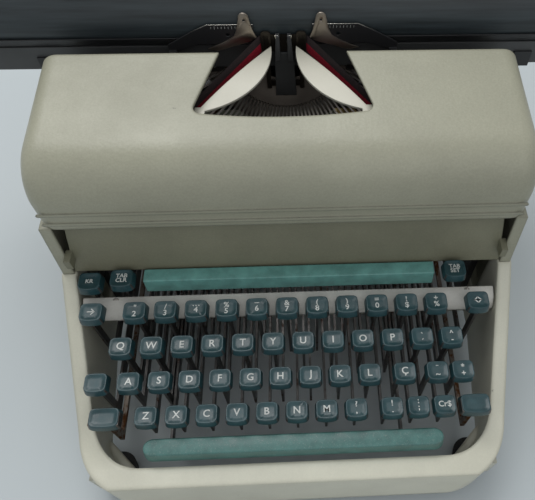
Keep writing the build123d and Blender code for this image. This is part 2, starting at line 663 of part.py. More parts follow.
# The shift lock hooks over the shift shaft, which is thicker than the lever shafts.
with BuildPart() as shift_lock_key:
    lock_bottom, lock_top = SHIFT_SHAFT_Z - 1, SHIFT_SHAFT_Z + 10
    lock_notch = SHIFT_SHAFT_Z + (SHIFT_SHAFT_RADIUS + 3 * GAP) * sqrt(2)
    lock_y, lock_cap = row_y(2), row_top(2) - CAP_HEIGHT
    extrude(cap_outline(SHIFT_LOCK_X, lock_y, lock_cap, CAP_WIDTH), amount=CAP_HEIGHT,
            taper=CAP_TAPER)
    with BuildSketch(Plane.YZ.offset(SHIFT_LOCK_X - LEVER_THICK / 2)):
        with BuildLine():
            Polyline((lock_y - STEM_WIDTH / 2, lock_bottom),
                     (SHIFT_SHAFT_Y - (lock_notch - lock_bottom), lock_bottom),
                     (SHIFT_SHAFT_Y, lock_notch),
                     (SHIFT_SHAFT_Y + (lock_notch - lock_bottom), lock_bottom),
                     (SHIFT_SHAFT_Y + 12, lock_bottom), (SHIFT_SHAFT_Y + 12, lock_top),
                     (lock_y + STEM_WIDTH / 2, lock_top),
                     (lock_y + STEM_WIDTH / 2, lock_cap - SEAT),
                     (lock_y - STEM_WIDTH / 2, lock_cap - SEAT), close=True)
        make_face()
    extrude(amount=LEVER_THICK)
shift_lock_key.part.label = "shift_lock_key"
export_step(shift_lock_key.part, "parts/shift_lock_key.step")

# ---- Shift: two wide keys on one rocking shaft --------------------------------------
with BuildPart() as shift_shaft:
    with BuildSketch(Plane.YZ.offset(-PLATE_OUTER_X)):
        with Locations((SHIFT_SHAFT_Y, SHIFT_SHAFT_Z)):
            Circle(SHIFT_SHAFT_RADIUS)
    extrude(amount=2 * PLATE_OUTER_X)
    shift_y, shift_cap = row_y(3), row_top(3) - CAP_HEIGHT
    for x in SHIFT_KEY_XS:
        with BuildSketch(Plane.YZ.offset(x - SHIFT_ARM / 2)):
            with BuildLine():
                Polyline((shift_y - STEM_WIDTH / 2, SHIFT_SHAFT_Z - 1),
                         (SHIFT_SHAFT_Y, SHIFT_SHAFT_Z - 1), (SHIFT_SHAFT_Y, SHIFT_SHAFT_Z + 2.2),
                         (shift_y + STEM_WIDTH / 2, SHIFT_SHAFT_Z + 3),
                         (shift_y + STEM_WIDTH / 2, shift_cap - SEAT),
                         (shift_y - STEM_WIDTH / 2, shift_cap - SEAT), close=True)
            make_face()
        extrude(amount=SHIFT_ARM)
shift_shaft.part.label = "shift_shaft"
export_step(shift_shaft.part, "parts/shift_shaft.step")

with BuildPart() as shift_keys:
    for x in SHIFT_KEY_XS:
        extrude(cap_outline(x, row_y(3), row_top(3) - CAP_HEIGHT, SHIFT_CAP_WIDTH),
                amount=CAP_HEIGHT, taper=CAP_TAPER)
shift_keys.part.label = "shift_keys"
export_step(shift_keys.part, "parts/shift_keys.step")

# ---- Space bar and tabulator bar ------------------------------------------------------
with BuildPart() as space_bar:
    with BuildSketch(Plane.XY.offset(SPACE_BAR_TOP - SPACE_BAR_HEIGHT)):
        with Locations((0, SPACE_BAR_Y)):
            SlotOverall(SPACE_BAR_LENGTH, SPACE_BAR_DEPTH)
    extrude(amount=SPACE_BAR_HEIGHT, taper=CAP_TAPER)
    for x in SPACE_ARM_XS:
        extrude(lever_outline(x, SPACE_BAR_Y, SPACE_BAR_TOP - SPACE_BAR_HEIGHT - SEAT, SHAFT_Y,
                              SHAFT_Z, LEVER_HEIGHT, LEVER_THICK), amount=LEVER_THICK)
space_bar.part.label = "space_bar"
export_step(space_bar.part, "parts/space_bar.step")

with BuildPart() as tab_bar:
    with BuildSketch(Plane.YZ.offset(-TAB_BAR_LENGTH / 2)):
        with Locations((TAB_BAR_Y, TAB_BAR_TOP - TAB_BAR_HEIGHT / 2)):
            RectangleRounded(TAB_BAR_DEPTH, TAB_BAR_HEIGHT, 1.2)
    extrude(amount=TAB_BAR_LENGTH)
    for x in TAB_ARM_XS:
        extrude(lever_outline(x, TAB_BAR_Y, TAB_BAR_TOP - TAB_BAR_HEIGHT - SEAT, TAB_SHAFT_Y,
                              TAB_SHAFT_Z, TAB_LEVER, LEVER_THICK), amount=LEVER_THICK)
tab_bar.part.label = "tab_bar"
export_step(tab_bar.part, "parts/tab_bar.step")

# ---- Curved cross bar behind the keys ------------------------------------------------
with BuildPart() as key_cross_bar:
    half_bar = well_half_width(COMB_FRONT_Y) - 2 * GAP
    with BuildSketch(Plane.YZ.offset(-half_bar)):
        with BuildLine():
            back_top, front_low = (COMB_BACK_Y, COMB_BACK_Z), (COMB_FRONT_Y, COMB_FRONT_Z)
            bow = ((COMB_BACK_Y + COMB_FRONT_Y) / 2 - 2, (COMB_BACK_Z + COMB_FRONT_Z) / 2 + 2)
            ThreePointArc(back_top, bow, front_low)
            Line(front_low, (COMB_FRONT_Y, COMB_FRONT_Z - COMB_SHEET))
            ThreePointArc((COMB_FRONT_Y, COMB_FRONT_Z - COMB_SHEET),
                          (bow[0] + COMB_SHEET / 2, bow[1] - COMB_SHEET),
                          (COMB_BACK_Y, COMB_BACK_Z - COMB_SHEET))
            Line((COMB_BACK_Y, COMB_BACK_Z - COMB_SHEET), back_top)
        make_face()
    extrude(amount=2 * half_bar)
key_cross_bar.part.label = "key_cross_bar"
export_step(key_cross_bar.part, "parts/key_cross_bar.step")


# ---- Type basket: slotted segment, fanned type bars, rest and guide ------------------
tilt = radians(BASKET_TILT)
axis = Vector(0, -cos(tilt), sin(tilt))
strike_point = Vector(0, STRIKE_Y, POINT_Z)
basket_centre = strike_point - axis * POINT_OFFSET
basket_plane = Plane(origin=basket_centre, x_dir=(1, 0, 0), z_dir=axis)
SEGMENT_SPAN = 2 * FAN_ANGLE + 10
SLOT_WIDTH = BAR_THICK + 2 * SLOT_CLEAR


def ring_sector(inner, outer, height):
    """Sector of a ring about the basket's axis, at a height above its plane."""
    start = -90 - SEGMENT_SPAN / 2
    end_a, end_b = radians(start), radians(start + SEGMENT_SPAN)
    with BuildSketch(basket_plane.offset(height)) as sector:
        with BuildLine():
            CenterArc((0, 0), outer, start, SEGMENT_SPAN)
            CenterArc((0, 0), inner, start, SEGMENT_SPAN)
            for end in (end_a, end_b):
                Line((inner * cos(end), inner * sin(end)), (outer * cos(end), outer * sin(end)))
        make_face()
    return sector.sketch


with BuildPart() as type_segment:
    inner, outer = PIVOT_RADIUS - SEGMENT_WALL, PIVOT_RADIUS + SEGMENT_WALL
    extrude(ring_sector(inner, outer, SEGMENT_FLOOR), amount=SEGMENT_FACE - SEGMENT_FLOOR)
    with BuildSketch(basket_plane.offset(SLOT_FLOOR)):
        with PolarLocations(PIVOT_RADIUS, BAR_COUNT, -90 - FAN_ANGLE, 2 * FAN_ANGLE,
                            endpoint=True):
            Rectangle(2 * SEGMENT_WALL + 6, SLOT_WIDTH)
    extrude(amount=20, mode=Mode.SUBTRACT)
    extrude(ring_sector(inner - 18, inner + 1, SEGMENT_FLOOR), amount=SEGMENT_WEB)
    with BuildSketch(Plane.XY.offset(BEAM_TOP - 10)):
        with Locations((0, BEAM_Y - GAP)):
            Rectangle(26, BEAM_Y - SEGMENT_FOOT_Y, align=(Align.CENTER, Align.MAX))
    extrude(amount=10)
    with BuildSketch(Plane.XY.offset(MARGIN_RAIL_BOTTOM - 3)):
        with Locations((0, MARGIN_RAIL_Y - 2)):
            Rectangle(CARRIAGE_LENGTH, 40, align=(Align.CENTER, Align.MIN))
    extrude(amount=40, mode=Mode.SUBTRACT)
type_segment.part.label = "type_segment"
export_step(type_segment.part, "parts/type_segment.step")


def type_bar(angle):
    """One type bar at rest, fanned out by angle from straight down."""
    turn = radians(-90 + angle)
    radial = basket_plane.from_local_coords(Vector(cos(turn), sin(turn), 0)) - basket_centre
    plane = Plane(origin=basket_centre, x_dir=radial, z_dir=radial.cross(axis))
    rise = radians(REST_RISE)

    def at(along, across):
        return (PIVOT_RADIUS + along * cos(rise) - across * sin(rise),
                along * sin(rise) + across * cos(rise))

    with BuildPart() as bar:
        with BuildSketch(plane.offset(-BAR_THICK / 2)):
            with BuildLine():
                Polyline(at(-4.5, -2.2), at(BAR_LENGTH + 4, -1.4), at(BAR_LENGTH + 4, 1.0),
                         at(-4.5, 2.4), close=True)
            make_face()
        extrude(amount=BAR_THICK)
        with BuildSketch(plane.offset(-SLUG_WIDTH / 2)):
            with BuildLine():
                Polyline(at(BAR_LENGTH - 5, 0.6), at(BAR_LENGTH + 5, 0.6),
                         at(BAR_LENGTH + 5, SLUG_FACE - SLUG_LEAN),
                         at(BAR_LENGTH - 5, SLUG_FACE + SLUG_LEAN), close=True)
            make_face()
        extrude(amount=SLUG_WIDTH)
    return bar.part


with BuildPart() as type_bars:
    for index in range(BAR_COUNT):
        if index != BAR_COUNT // 2:
            add(type_bar(-FAN_ANGLE + index * 2 * FAN_ANGLE / (BAR_COUNT - 1)))
type_bars.part.label = "type_bars"
export_step(type_bars.part, "parts/type_bars.step")

type_bar_h = type_bar(0)
type_bar_h.label = "type_bar_h"
export_step(type_bar_h, "parts/type_bar_h.step")

with BuildPart() as type_rest:
    rise = radians(REST_RISE)
    rest_inner = PIVOT_RADIUS + REST_AT * BAR_LENGTH * cos(rise)
    rest_top = REST_AT * BAR_LENGTH * sin(rise) - 2.2 / cos(rise) - GAP
    extrude(ring_sector(rest_inner, rest_inner + 5, rest_top - 3), amount=3)
    for angle in (-45, 0, 45):
        turn = radians(-90 + angle)
        radial = basket_plane.from_local_coords(Vector(cos(turn), sin(turn), 0)) - basket_centre
        with BuildSketch(Plane(origin=basket_centre, x_dir=radial,
                               z_dir=radial.cross(axis)).offset(-1.5)):
            with BuildLine():
                Polyline((PIVOT_RADIUS + SEGMENT_WALL + 3 * GAP, SEGMENT_FLOOR),
                         (PIVOT_RADIUS + SEGMENT_WALL + 3 * GAP, SEGMENT_FLOOR + 6),
                         (rest_inner + 1, rest_top - 1), (rest_inner + 4, rest_top - 2), close=True)
            make_face()
        extrude(amount=3)
type_rest.part.label = "type_rest"
export_step(type_rest.part, "parts/type_rest.step")

with BuildPart() as type_guide:
    with BuildSketch(Plane.XZ.offset(-(POINT_Y - 0.1))):
        with BuildLine():
            Polyline((-7, GUIDE_FOOT), (7, GUIDE_FOOT), (6, GUIDE_TOP - 15), (-6, GUIDE_TOP - 15),
                     close=True)
        make_face()
    extrude(amount=1.3)
    for side in (-1, 1):
        with BuildSketch(Plane.XZ.offset(-(POINT_Y - 1.3))):
            with BuildLine():
                Polyline((side * 2.4, GUIDE_TOP - 19), (side * 6, GUIDE_TOP - 19),
                         (side * 4.6, GUIDE_TOP), (side * 2.4, GUIDE_TOP), close=True)
            make_face()
        extrude(amount=3.4)
type_guide.part.label = "type_guide"
export_step(type_guide.part, "parts/type_guide.step")

# ---- Ribbon: spools, runs, vibrator and the ivory guards -------------------------------
for side, name in ((-1, "ribbon_spool_left"), (1, "ribbon_spool_right")):
    with BuildPart() as spool:
        with BuildSketch(Plane.XY.offset(SPOOL_BOTTOM)):
            with Locations((side * SPOOL_X, SPOOL_Y)):
                Circle(SPOOL_RADIUS)
                Circle(SPINDLE_RADIUS + FIT, mode=Mode.SUBTRACT)
        extrude(amount=SPOOL_HEIGHT)
        with BuildSketch(Plane.XY.offset(SPOOL_BOTTOM + SPOOL_FLANGE)):
            with Locations((side * SPOOL_X, SPOOL_Y)):
                Circle(SPOOL_RADIUS + 1)
                Circle(RIBBON_PACK, mode=Mode.SUBTRACT)
        extrude(amount=SPOOL_HEIGHT - 2 * SPOOL_FLANGE, mode=Mode.SUBTRACT)
    spool.part.label = name
    export_step(spool.part, f"parts/{name}.step")

ribbon_bottom = SPOOL_BOTTOM + (SPOOL_HEIGHT - RIBBON_WIDTH) / 2
guide_bottom = POINT_Z - RIBBON_DROP - RIBBON_WIDTH
with BuildPart() as ribbon_runs:
    for side in (-1, 1):
        start = Vector(side * (LOOP_X + LOOP_WIDTH / 2 + GAP), RIBBON_Y, 0)
        hub = Vector(side * SPOOL_X, SPOOL_Y, 0)
        span = hub - start
        reach = sqrt(span.length ** 2 - (RIBBON_PACK + GAP) ** 2)
        swing = degrees(asin((RIBBON_PACK + GAP) / span.length))
        run = span.rotate(Axis.Z, -side * swing).normalized()
        with BuildSketch(Plane(origin=start, x_dir=run, z_dir=run.cross(Vector(0, 0, 1)))):
            with BuildLine():
                level = reach - SPOOL_RADIUS + 4
                Polyline((0, guide_bottom), (level, ribbon_bottom), (reach, ribbon_bottom),
                         (reach, ribbon_bottom + RIBBON_WIDTH),
                         (level, ribbon_bottom + RIBBON_WIDTH),
                         (0, guide_bottom + RIBBON_WIDTH), close=True)
            make_face()
        extrude(amount=RIBBON_THICK / 2, both=True)
ribbon_runs.part.label = "ribbon_runs"
export_step(ribbon_runs.part, "parts/ribbon_runs.step")

with BuildPart() as ribbon_vibrator:
    for side in (-1, 1):
        with BuildSketch(Plane.XZ.offset(-(RIBBON_Y - GAP))):
            with Locations((side * LOOP_X, guide_bottom + RIBBON_WIDTH / 2)):
                RectangleRounded(LOOP_WIDTH, RIBBON_WIDTH + 6, 2)
                Rectangle(LOOP_WIDTH - 2.6, RIBBON_WIDTH + 1, mode=Mode.SUBTRACT)
            with Locations((side * LOOP_X, VIBRATOR_BOTTOM)):
                Rectangle(3, guide_bottom - VIBRATOR_BOTTOM - 1, align=(Align.CENTER, Align.MIN))
        extrude(amount=1)
    with BuildSketch(Plane.XY.offset(VIBRATOR_BOTTOM)):
        for side in (-1, 1):
            with Locations((side * LOOP_X, RIBBON_Y - GAP - 1)):
                Rectangle(3, YOKE_Y - SEAT - RIBBON_Y + GAP + 1, align=(Align.CENTER, Align.MIN))
        # the yoke behind the type guide is riveted to the two arms
        with Locations((0, YOKE_Y)):
            Rectangle(2 * LOOP_X + 3, 1.2, align=(Align.CENTER, Align.MIN))
    extrude(amount=5)
    with BuildSketch(Plane.XY.offset(guide_bottom)):
        with Locations((0, RIBBON_Y)):
            Rectangle(2 * LOOP_X + LOOP_WIDTH, RIBBON_THICK, align=(Align.CENTER, Align.MIN))
    extrude(amount=RIBBON_WIDTH)
ribbon_vibrator.part.label = "ribbon_vibrator"
export_step(ribbon_vibrator.part, "parts/ribbon_vibrator.step")

with BuildPart() as ribbon_guards:
    for side in (-1, 1):
        with BuildSketch(Plane.XY.offset(GUARD_Z)):
            with BuildLine():
                tip, foot = (side * GUARD_TIP_X, GUARD_TIP_Y), (side * GUARD_FOOT_X, GUARD_FOOT_Y)
                ThreePointArc(tip, (side * GUARD_INNER_X, GUARD_INNER_Y), foot)
                ThreePointArc(foot, (side * GUARD_OUTER_X, GUARD_OUTER_Y), tip)
            make_face()
            with Locations((side * GUARD_POST_X, GUARD_POST_Y)):
                Rectangle(6, GUARD_FOOT_Y - GUARD_POST_Y + 4, align=(Align.CENTER, Align.MIN))
        extrude(amount=SHEET)
        with BuildSketch(Plane.XY.offset(SHELF_TOP)):
            with Locations((side * GUARD_POST_X, GUARD_POST_Y + 1)):
                Rectangle(6, 2)
        extrude(amount=GUARD_Z - SHELF_TOP)
ribbon_guards.part.label = "ribbon_guards"
export_step(ribbon_guards.part, "parts/ribbon_guards.step")


# ---- Card holders either side of the printing point, and their fingers -----------------
with BuildPart() as card_holders:
    for side in (-1, 1):
        with BuildSketch(Plane.XZ.offset(-HOLDER_FACE_Y)):
            with BuildLine():
                Polyline((side * HOLDER_TIP_X, HOLDER_TOP), (side * (HOLDER_TIP_X + 28), HOLDER_TOP),
                         (side * (HOLDER_X - 13), HOLDER_TOP - 5),
                         (side * (HOLDER_X + 2.5), HOLDER_BOTTOM),
                         (side * (HOLDER_X + 2.5), HOLDER_BOTTOM - 8),
                         (side * (HOLDER_X - 16), HOLDER_BOTTOM),
                         (side * HOLDER_TIP_X, HOLDER_BOTTOM), close=True)
            make_face()
            with Locations((side * FINGER_PIVOT_X, FINGER_PIVOT_Z)):
                Circle(FINGER_PIN + FIT, mode=Mode.SUBTRACT)
        extrude(amount=-HOLDER_SHEET)
        with BuildSketch(Plane.XY.offset(HOLDER_BOTTOM - 8)):
            with Locations((side * HOLDER_X, HOLDER_Y - HOLDER_WIDTH / 2)):
                Rectangle(HOLDER_WIDTH, HOLDER_FACE_Y - HOLDER_Y + HOLDER_WIDTH / 2,
                          align=(Align.CENTER, Align.MIN))
        extrude(amount=4)
        with BuildSketch(Plane.XY.offset(SHELF_TOP)):
            with Locations((side * HOLDER_X, HOLDER_Y)):
                Rectangle(HOLDER_WIDTH, HOLDER_WIDTH)
        extrude(amount=HOLDER_BOTTOM - 6 - SHELF_TOP)
card_holders.part.label = "card_holders"
export_step(card_holders.part, "parts/card_holders.step")

finger_y = HOLDER_FACE_Y + HOLDER_SHEET + GAP
for side, name in ((-1, "card_finger_left"), (1, "card_finger_right")):
    with BuildPart() as card_finger:
        with BuildSketch(Plane.XZ.offset(-finger_y)):
            with BuildLine():
                Polyline((side * (FINGER_X - 7), FINGER_FOOT), (side * (FINGER_X + 13), FINGER_FOOT),
                         (side * (FINGER_X + 5), HOLDER_TOP + 1), (side * (FINGER_X + 3), FINGER_BEND),
                         (side * (FINGER_X - 3), FINGER_BEND), (side * (FINGER_X - 5), HOLDER_TOP + 1),
                         close=True)
            make_face()
        extrude(amount=-HOLDER_SHEET)
        with BuildSketch(Plane.YZ.offset(side * FINGER_X - 2.5)):
            with BuildLine():
                Polyline((finger_y, FINGER_BEND - 1), (finger_y + HOLDER_SHEET, FINGER_BEND - 1),
                         (FINGER_TIP_Y, FINGER_TIP - 1), (FINGER_TIP_Y - 1, FINGER_TIP), close=True)
            make_face()
        extrude(amount=5)
        with BuildSketch(Plane.XZ.offset(-HOLDER_FACE_Y)):
            with Locations((side * FINGER_PIVOT_X, FINGER_PIVOT_Z)):
                Circle(FINGER_PIN)
        extrude(amount=HOLDER_FACE_Y - finger_y)
    card_finger.part.label = name
    export_step(card_finger.part, f"parts/{name}.step")

# ---- Carriage: rails on the body, then everything that travels ---------------------------
with BuildPart() as carriage_rails:
    with BuildSketch(Plane.XY.offset(PLATE_TOP)):
        for y in RAIL_YS:
            with Locations((0, y)):
                Rectangle(2 * PLATE_OUTER_X, RAIL_WIDTH, align=(Align.CENTER, Align.MIN))
    extrude(amount=RAIL_THICK)
carriage_rails.part.label = "carriage_rails"
export_step(carriage_rails.part, "parts/carriage_rails.step")

half_carriage = CARRIAGE_LENGTH / 2
bed_bottom = PLATE_TOP + RAIL_THICK + GAP
with BuildPart() as carriage_bed:
    with BuildSketch(Plane.XY.offset(bed_bottom)):
        with Locations((0, (BED_FRONT_Y + BED_BACK_Y) / 2)):
            Rectangle(CARRIAGE_LENGTH, BED_BACK_Y - BED_FRONT_Y)
            Rectangle(CARRIAGE_LENGTH - 60, BED_BACK_Y - BED_FRONT_Y - 34, mode=Mode.SUBTRACT)
    extrude(amount=BED_TOP - bed_bottom)
    with BuildSketch(Plane.XY.offset(bed_bottom)):
        with Locations((0, RACK_Y)):
            Rectangle(CARRIAGE_LENGTH - 20, RACK_WIDTH)
    extrude(amount=-RACK_DEPTH)
    with BuildSketch(Plane.XY.offset(bed_bottom)):
        with Locations(*[(x, RACK_Y + (BED_BACK_Y - 17 - RACK_Y) / 2) for x in (-185, 0, 185)]):
            Rectangle(10, BED_BACK_Y - 17 - RACK_Y + RACK_WIDTH)
    extrude(amount=BED_TOP - bed_bottom)
carriage_bed.part.label = "carriage_bed"
export_step(carriage_bed.part, "parts/carriage_bed.step")


def roller_place(side):
    """Centre (y, z) of a feed roller under the platen: side -1 in front, 1 behind."""
    reach = PLATEN_RADIUS + ROLLER_RADIUS + GAP
    return (PLATEN_Y + side * reach * sin(radians(ROLLER_ANGLE)),
            POINT_Z - reach * cos(radians(ROLLER_ANGLE)))


with BuildPart() as carriage_ends:
    with BuildSketch(Plane.YZ.offset(half_carriage - END_PLATE)):
        with BuildLine():
            Polyline((MARGIN_RAIL_Y, MARGIN_RAIL_BOTTOM), (BED_FRONT_Y, MARGIN_RAIL_BOTTOM),
                     (BED_FRONT_Y, BED_TOP + SEAT), (BED_BACK_Y, BED_TOP + SEAT),
                     (BED_BACK_Y, 206), (116, 234), (86, 236), (MARGIN_RAIL_Y, 217), close=True)
        make_face()
        for place, radius in (((PLATEN_Y, POINT_Z), PLATEN_SHAFT_RADIUS),
                              (roller_place(-1), ROLLER_SHAFT_RADIUS),
                              (roller_place(1), ROLLER_SHAFT_RADIUS),
                              ((BAIL_PIVOT_Y, BAIL_PIVOT_Z), BAIL_ROD),
                              ((RELEASE_PIVOT_Y, RELEASE_PIVOT_Z), BAIL_ROD)):
            with Locations(place):
                Circle(radius + FIT, mode=Mode.SUBTRACT)
    extrude(amount=END_PLATE)
    mirror(about=Plane.YZ)
    boss_end = LEVER_PIN_X - 8
    boss_width = END_PLATE - half_carriage - boss_end
    with BuildSketch(Plane.XY.offset(LEVER_Z - GAP)):
        with Locations((boss_end + boss_width / 2, LEVER_PIN_Y - 5)):
            Rectangle(boss_width, 10, align=(Align.CENTER, Align.MIN))
    extrude(amount=-10)
    with BuildSketch(Plane.XY.offset(LEVER_Z - GAP)):
        with Locations((LEVER_PIN_X, LEVER_PIN_Y)):
            Circle(BAIL_ROD)
    extrude(amount=6)
carriage_ends.part.label = "carriage_ends"
export_step(carriage_ends.part, "parts/carriage_ends.step")

inner_length = CARRIAGE_LENGTH - 2 * END_PLATE - 2 * SEAT
with BuildPart() as margin_rail:
    with BuildSketch(Plane.YZ.offset(-inner_length / 2)):
        with Locations((MARGIN_RAIL_Y + MARGIN_RAIL_THICK / 2,
                        (MARGIN_RAIL_BOTTOM + MARGIN_RAIL_TOP) / 2)):
            Rectangle(MARGIN_RAIL_THICK, MARGIN_RAIL_TOP - MARGIN_RAIL_BOTTOM)
    extrude(amount=inner_length)
margin_rail.part.label = "margin_rail"
export_step(margin_rail.part, "parts/margin_rail.step")

for x, name in zip(STOP_XS, ("margin_stop_left", "margin_stop_right")):
    with BuildPart() as margin_stop:
        with BuildSketch(Plane.YZ.offset(x - STOP_WIDTH / 2)):
            low, high = MARGIN_RAIL_BOTTOM - 1.5, MARGIN_RAIL_BOTTOM + 10
            front, back = MARGIN_RAIL_Y - GAP, MARGIN_RAIL_Y + MARGIN_RAIL_THICK + GAP
            with BuildLine():
                Polyline((front - 1.2, low), (back + 1.2, low), (back + 1.2, low + 4.5),
                         (back, low + 4.5),
                         (back, MARGIN_RAIL_BOTTOM - GAP), (front, MARGIN_RAIL_BOTTOM - GAP),
                         (front, high), (front - 1.2, high), close=True)
            make_face()
        extrude(amount=STOP_WIDTH)
    margin_stop.part.label = name
    export_step(margin_stop.part, f"parts/{name}.step")

with BuildPart() as paper_apron:
    apron_inner = PLATEN_RADIUS + APRON_GAP
    with BuildSketch(Plane.YZ.offset(-inner_length / 2)):
        with BuildLine():
            first, last = APRON_ANGLES
            for radius in (apron_inner, apron_inner + APRON_SHEET):
                CenterArc((PLATEN_Y, POINT_Z), radius, first, last - first)
            for angle in (radians(first), radians(last)):
                Line((PLATEN_Y + apron_inner * cos(angle), POINT_Z + apron_inner * sin(angle)),
                     (PLATEN_Y + (apron_inner + APRON_SHEET) * cos(angle),
                      POINT_Z + (apron_inner + APRON_SHEET) * sin(angle)))
        make_face()
    extrude(amount=inner_length)
paper_apron.part.label = "paper_apron"
export_step(paper_apron.part, "parts/paper_apron.step")

for side, name in ((-1, "feed_rollers_front"), (1, "feed_rollers_rear")):
    with BuildPart() as rollers:
        with BuildSketch(Plane.YZ.offset(-half_carriage)):
            with Locations(roller_place(side)):
                Circle(ROLLER_SHAFT_RADIUS)
        extrude(amount=CARRIAGE_LENGTH)
        for x in (-165, -55, 55, 165):
            with BuildSketch(Plane.YZ.offset(x - 16)):
                with Locations(roller_place(side)):
                    Circle(ROLLER_RADIUS)
            extrude(amount=32)
    rollers.part.label = name
    export_step(rollers.part, f"parts/{name}.step")

with BuildPart() as platen_roller:
    with BuildSketch(Plane.YZ.offset(-PLATEN_LENGTH / 2)):
        with Locations((PLATEN_Y, POINT_Z)):
            Circle(PLATEN_RADIUS)
            Circle(PLATEN_SHAFT_RADIUS + SEAT, mode=Mode.SUBTRACT)
    extrude(amount=PLATEN_LENGTH)
platen_roller.part.label = "platen_roller"
export_step(platen_roller.part, "parts/platen_roller.step")

with BuildPart() as platen_shaft:
    with BuildSketch(Plane.YZ.offset(-SHAFT_LENGTH / 2)):
        with Locations((PLATEN_Y, POINT_Z)):
            Circle(PLATEN_SHAFT_RADIUS)
    extrude(amount=SHAFT_LENGTH)
    with BuildSketch(Plane.YZ.offset(-half_carriage - 0.5)):
        with Locations((PLATEN_Y, POINT_Z)):
            Circle(RATCHET_RADIUS)
            Circle(PLATEN_SHAFT_RADIUS + SEAT, mode=Mode.SUBTRACT)
            with PolarLocations(RATCHET_RADIUS, RATCHET_TEETH):
                RegularPolygon(1.3, 3, mode=Mode.SUBTRACT)
    extrude(amount=-3)
platen_shaft.part.label = "platen_shaft"
export_step(platen_shaft.part, "parts/platen_shaft.step")

with BuildPart() as platen_knobs:
    for side in (-1, 1):
        with BuildSketch(Plane.YZ.offset(side * (SHAFT_LENGTH / 2 - KNOB_LENGTH))):
            with Locations((PLATEN_Y, POINT_Z)):
                Circle(KNOB_RADIUS)
                Circle(PLATEN_SHAFT_RADIUS + SEAT, mode=Mode.SUBTRACT)
                with PolarLocations(KNOB_RADIUS + 1, KNOB_FLUTES):
                    Circle(2, mode=Mode.SUBTRACT)
        extrude(amount=side * KNOB_LENGTH)
platen_knobs.part.label = "platen_knobs"
export_step(platen_knobs.part, "parts/platen_knobs.step")

with BuildPart() as paper_table:
    with BuildSketch(Plane.YZ.offset(-inner_length / 2)):
        with BuildLine():
            for y in (0, TABLE_SHEET):
                ThreePointArc((PLATEN_Y + 25 + y, POINT_Z - 14), (PLATEN_Y + 35 + y, POINT_Z + 18),
                              (PLATEN_Y + 52 + y, TABLE_TOP_Z))
            for y, z in ((25, POINT_Z - 14), (52, TABLE_TOP_Z)):
                Line((PLATEN_Y + y, z), (PLATEN_Y + y + TABLE_SHEET, z))
        make_face()
    extrude(amount=inner_length)
paper_table.part.label = "paper_table"
export_step(paper_table.part, "parts/paper_table.step")

bail_reach = PLATEN_RADIUS + BAIL_ROLLER + GAP
bail_y = PLATEN_Y + bail_reach * cos(radians(BAIL_ANGLE))
bail_z = POINT_Z + bail_reach * sin(radians(BAIL_ANGLE))
with BuildPart() as paper_bail:
    bail_half = inner_length / 2 - GAP
    with BuildSketch(Plane.YZ.offset(-bail_half)):
        with Locations((bail_y, bail_z)):
            Circle(BAIL_ROD)
    extrude(amount=2 * bail_half)
    with BuildSketch(Plane.YZ.offset(bail_half - BAIL_ARM)):
        with Locations((bail_y, bail_z), (BAIL_PIVOT_Y, BAIL_PIVOT_Z)):
            Circle(4)
        make_hull()
    extrude(amount=BAIL_ARM)
    mirror(about=Plane.YZ)
    for side in (-1, 1):
        with BuildSketch(Plane.YZ.offset(side * bail_half)):
            with Locations((BAIL_PIVOT_Y, BAIL_PIVOT_Z)):
                Circle(BAIL_ROD)
        extrude(amount=side * (END_PLATE + GAP))
    for x in BAIL_ROLLER_XS:
        with BuildSketch(Plane.YZ.offset(x - 9)):
            with Locations((bail_y, bail_z)):
                Circle(BAIL_ROLLER)
                Circle(BAIL_ROD + FIT, mode=Mode.SUBTRACT)
        extrude(amount=18)
paper_bail.part.label = "paper_bail"
export_step(paper_bail.part, "parts/paper_bail.step")

with BuildPart() as return_lever:
    with BuildSketch(Plane.XY.offset(LEVER_Z)):
        with Locations((LEVER_PIN_X, LEVER_PIN_Y), (LEVER_PIN_X, LEVER_PIN_Y - RETURN_LEVER_REACH)):
            Circle(6)
        make_hull()
        with Locations((LEVER_PIN_X, LEVER_PIN_Y)):
            Circle(BAIL_ROD + FIT, mode=Mode.SUBTRACT)
    extrude(amount=3.5)
    with BuildSketch(Plane.XY.offset(LEVER_Z + 3.5)):
        with Locations((LEVER_PIN_X, LEVER_PIN_Y - RETURN_LEVER_REACH)):
            RectangleRounded(7, 10, 2)
    extrude(amount=20, taper=4)
return_lever.part.label = "return_lever"
export_step(return_lever.part, "parts/return_lever.step")

with BuildPart() as paper_release_lever:
    with BuildSketch(Plane.YZ.offset(half_carriage + GAP)):
        with Locations((RELEASE_PIVOT_Y, RELEASE_PIVOT_Z), (RELEASE_PIVOT_Y - 6, TABLE_TOP_Z - 18)):
            Circle(5)
        make_hull()
    extrude(amount=3)
    with BuildSketch(Plane.YZ.offset(half_carriage + GAP)):
        with Locations((RELEASE_PIVOT_Y, RELEASE_PIVOT_Z)):
            Circle(BAIL_ROD)
    extrude(amount=-(END_PLATE + GAP))
paper_release_lever.part.label = "paper_release_lever"
export_step(paper_release_lever.part, "parts/paper_release_lever.step")

# ---- Mainspring, escapement and bell --------------------------------------------------------
drum_back = PLATE_BACK_Y - REAR_BEAM - GAP
with BuildPart() as mainspring_drum:
    with BuildSketch(Plane.XZ.offset(-drum_back)):
        with Locations((DRUM_X, DRUM_Z)):
            Circle(DRUM_RADIUS)
    extrude(amount=18)
    with BuildSketch(Plane.XZ.offset(-drum_back)):
        with Locations((DRUM_X, DRUM_Z)):
            Circle(SHAFT_RADIUS)
    extrude(amount=-(REAR_BEAM + GAP))
mainspring_drum.part.label = "mainspring_drum"
export_step(mainspring_drum.part, "parts/mainspring_drum.step")

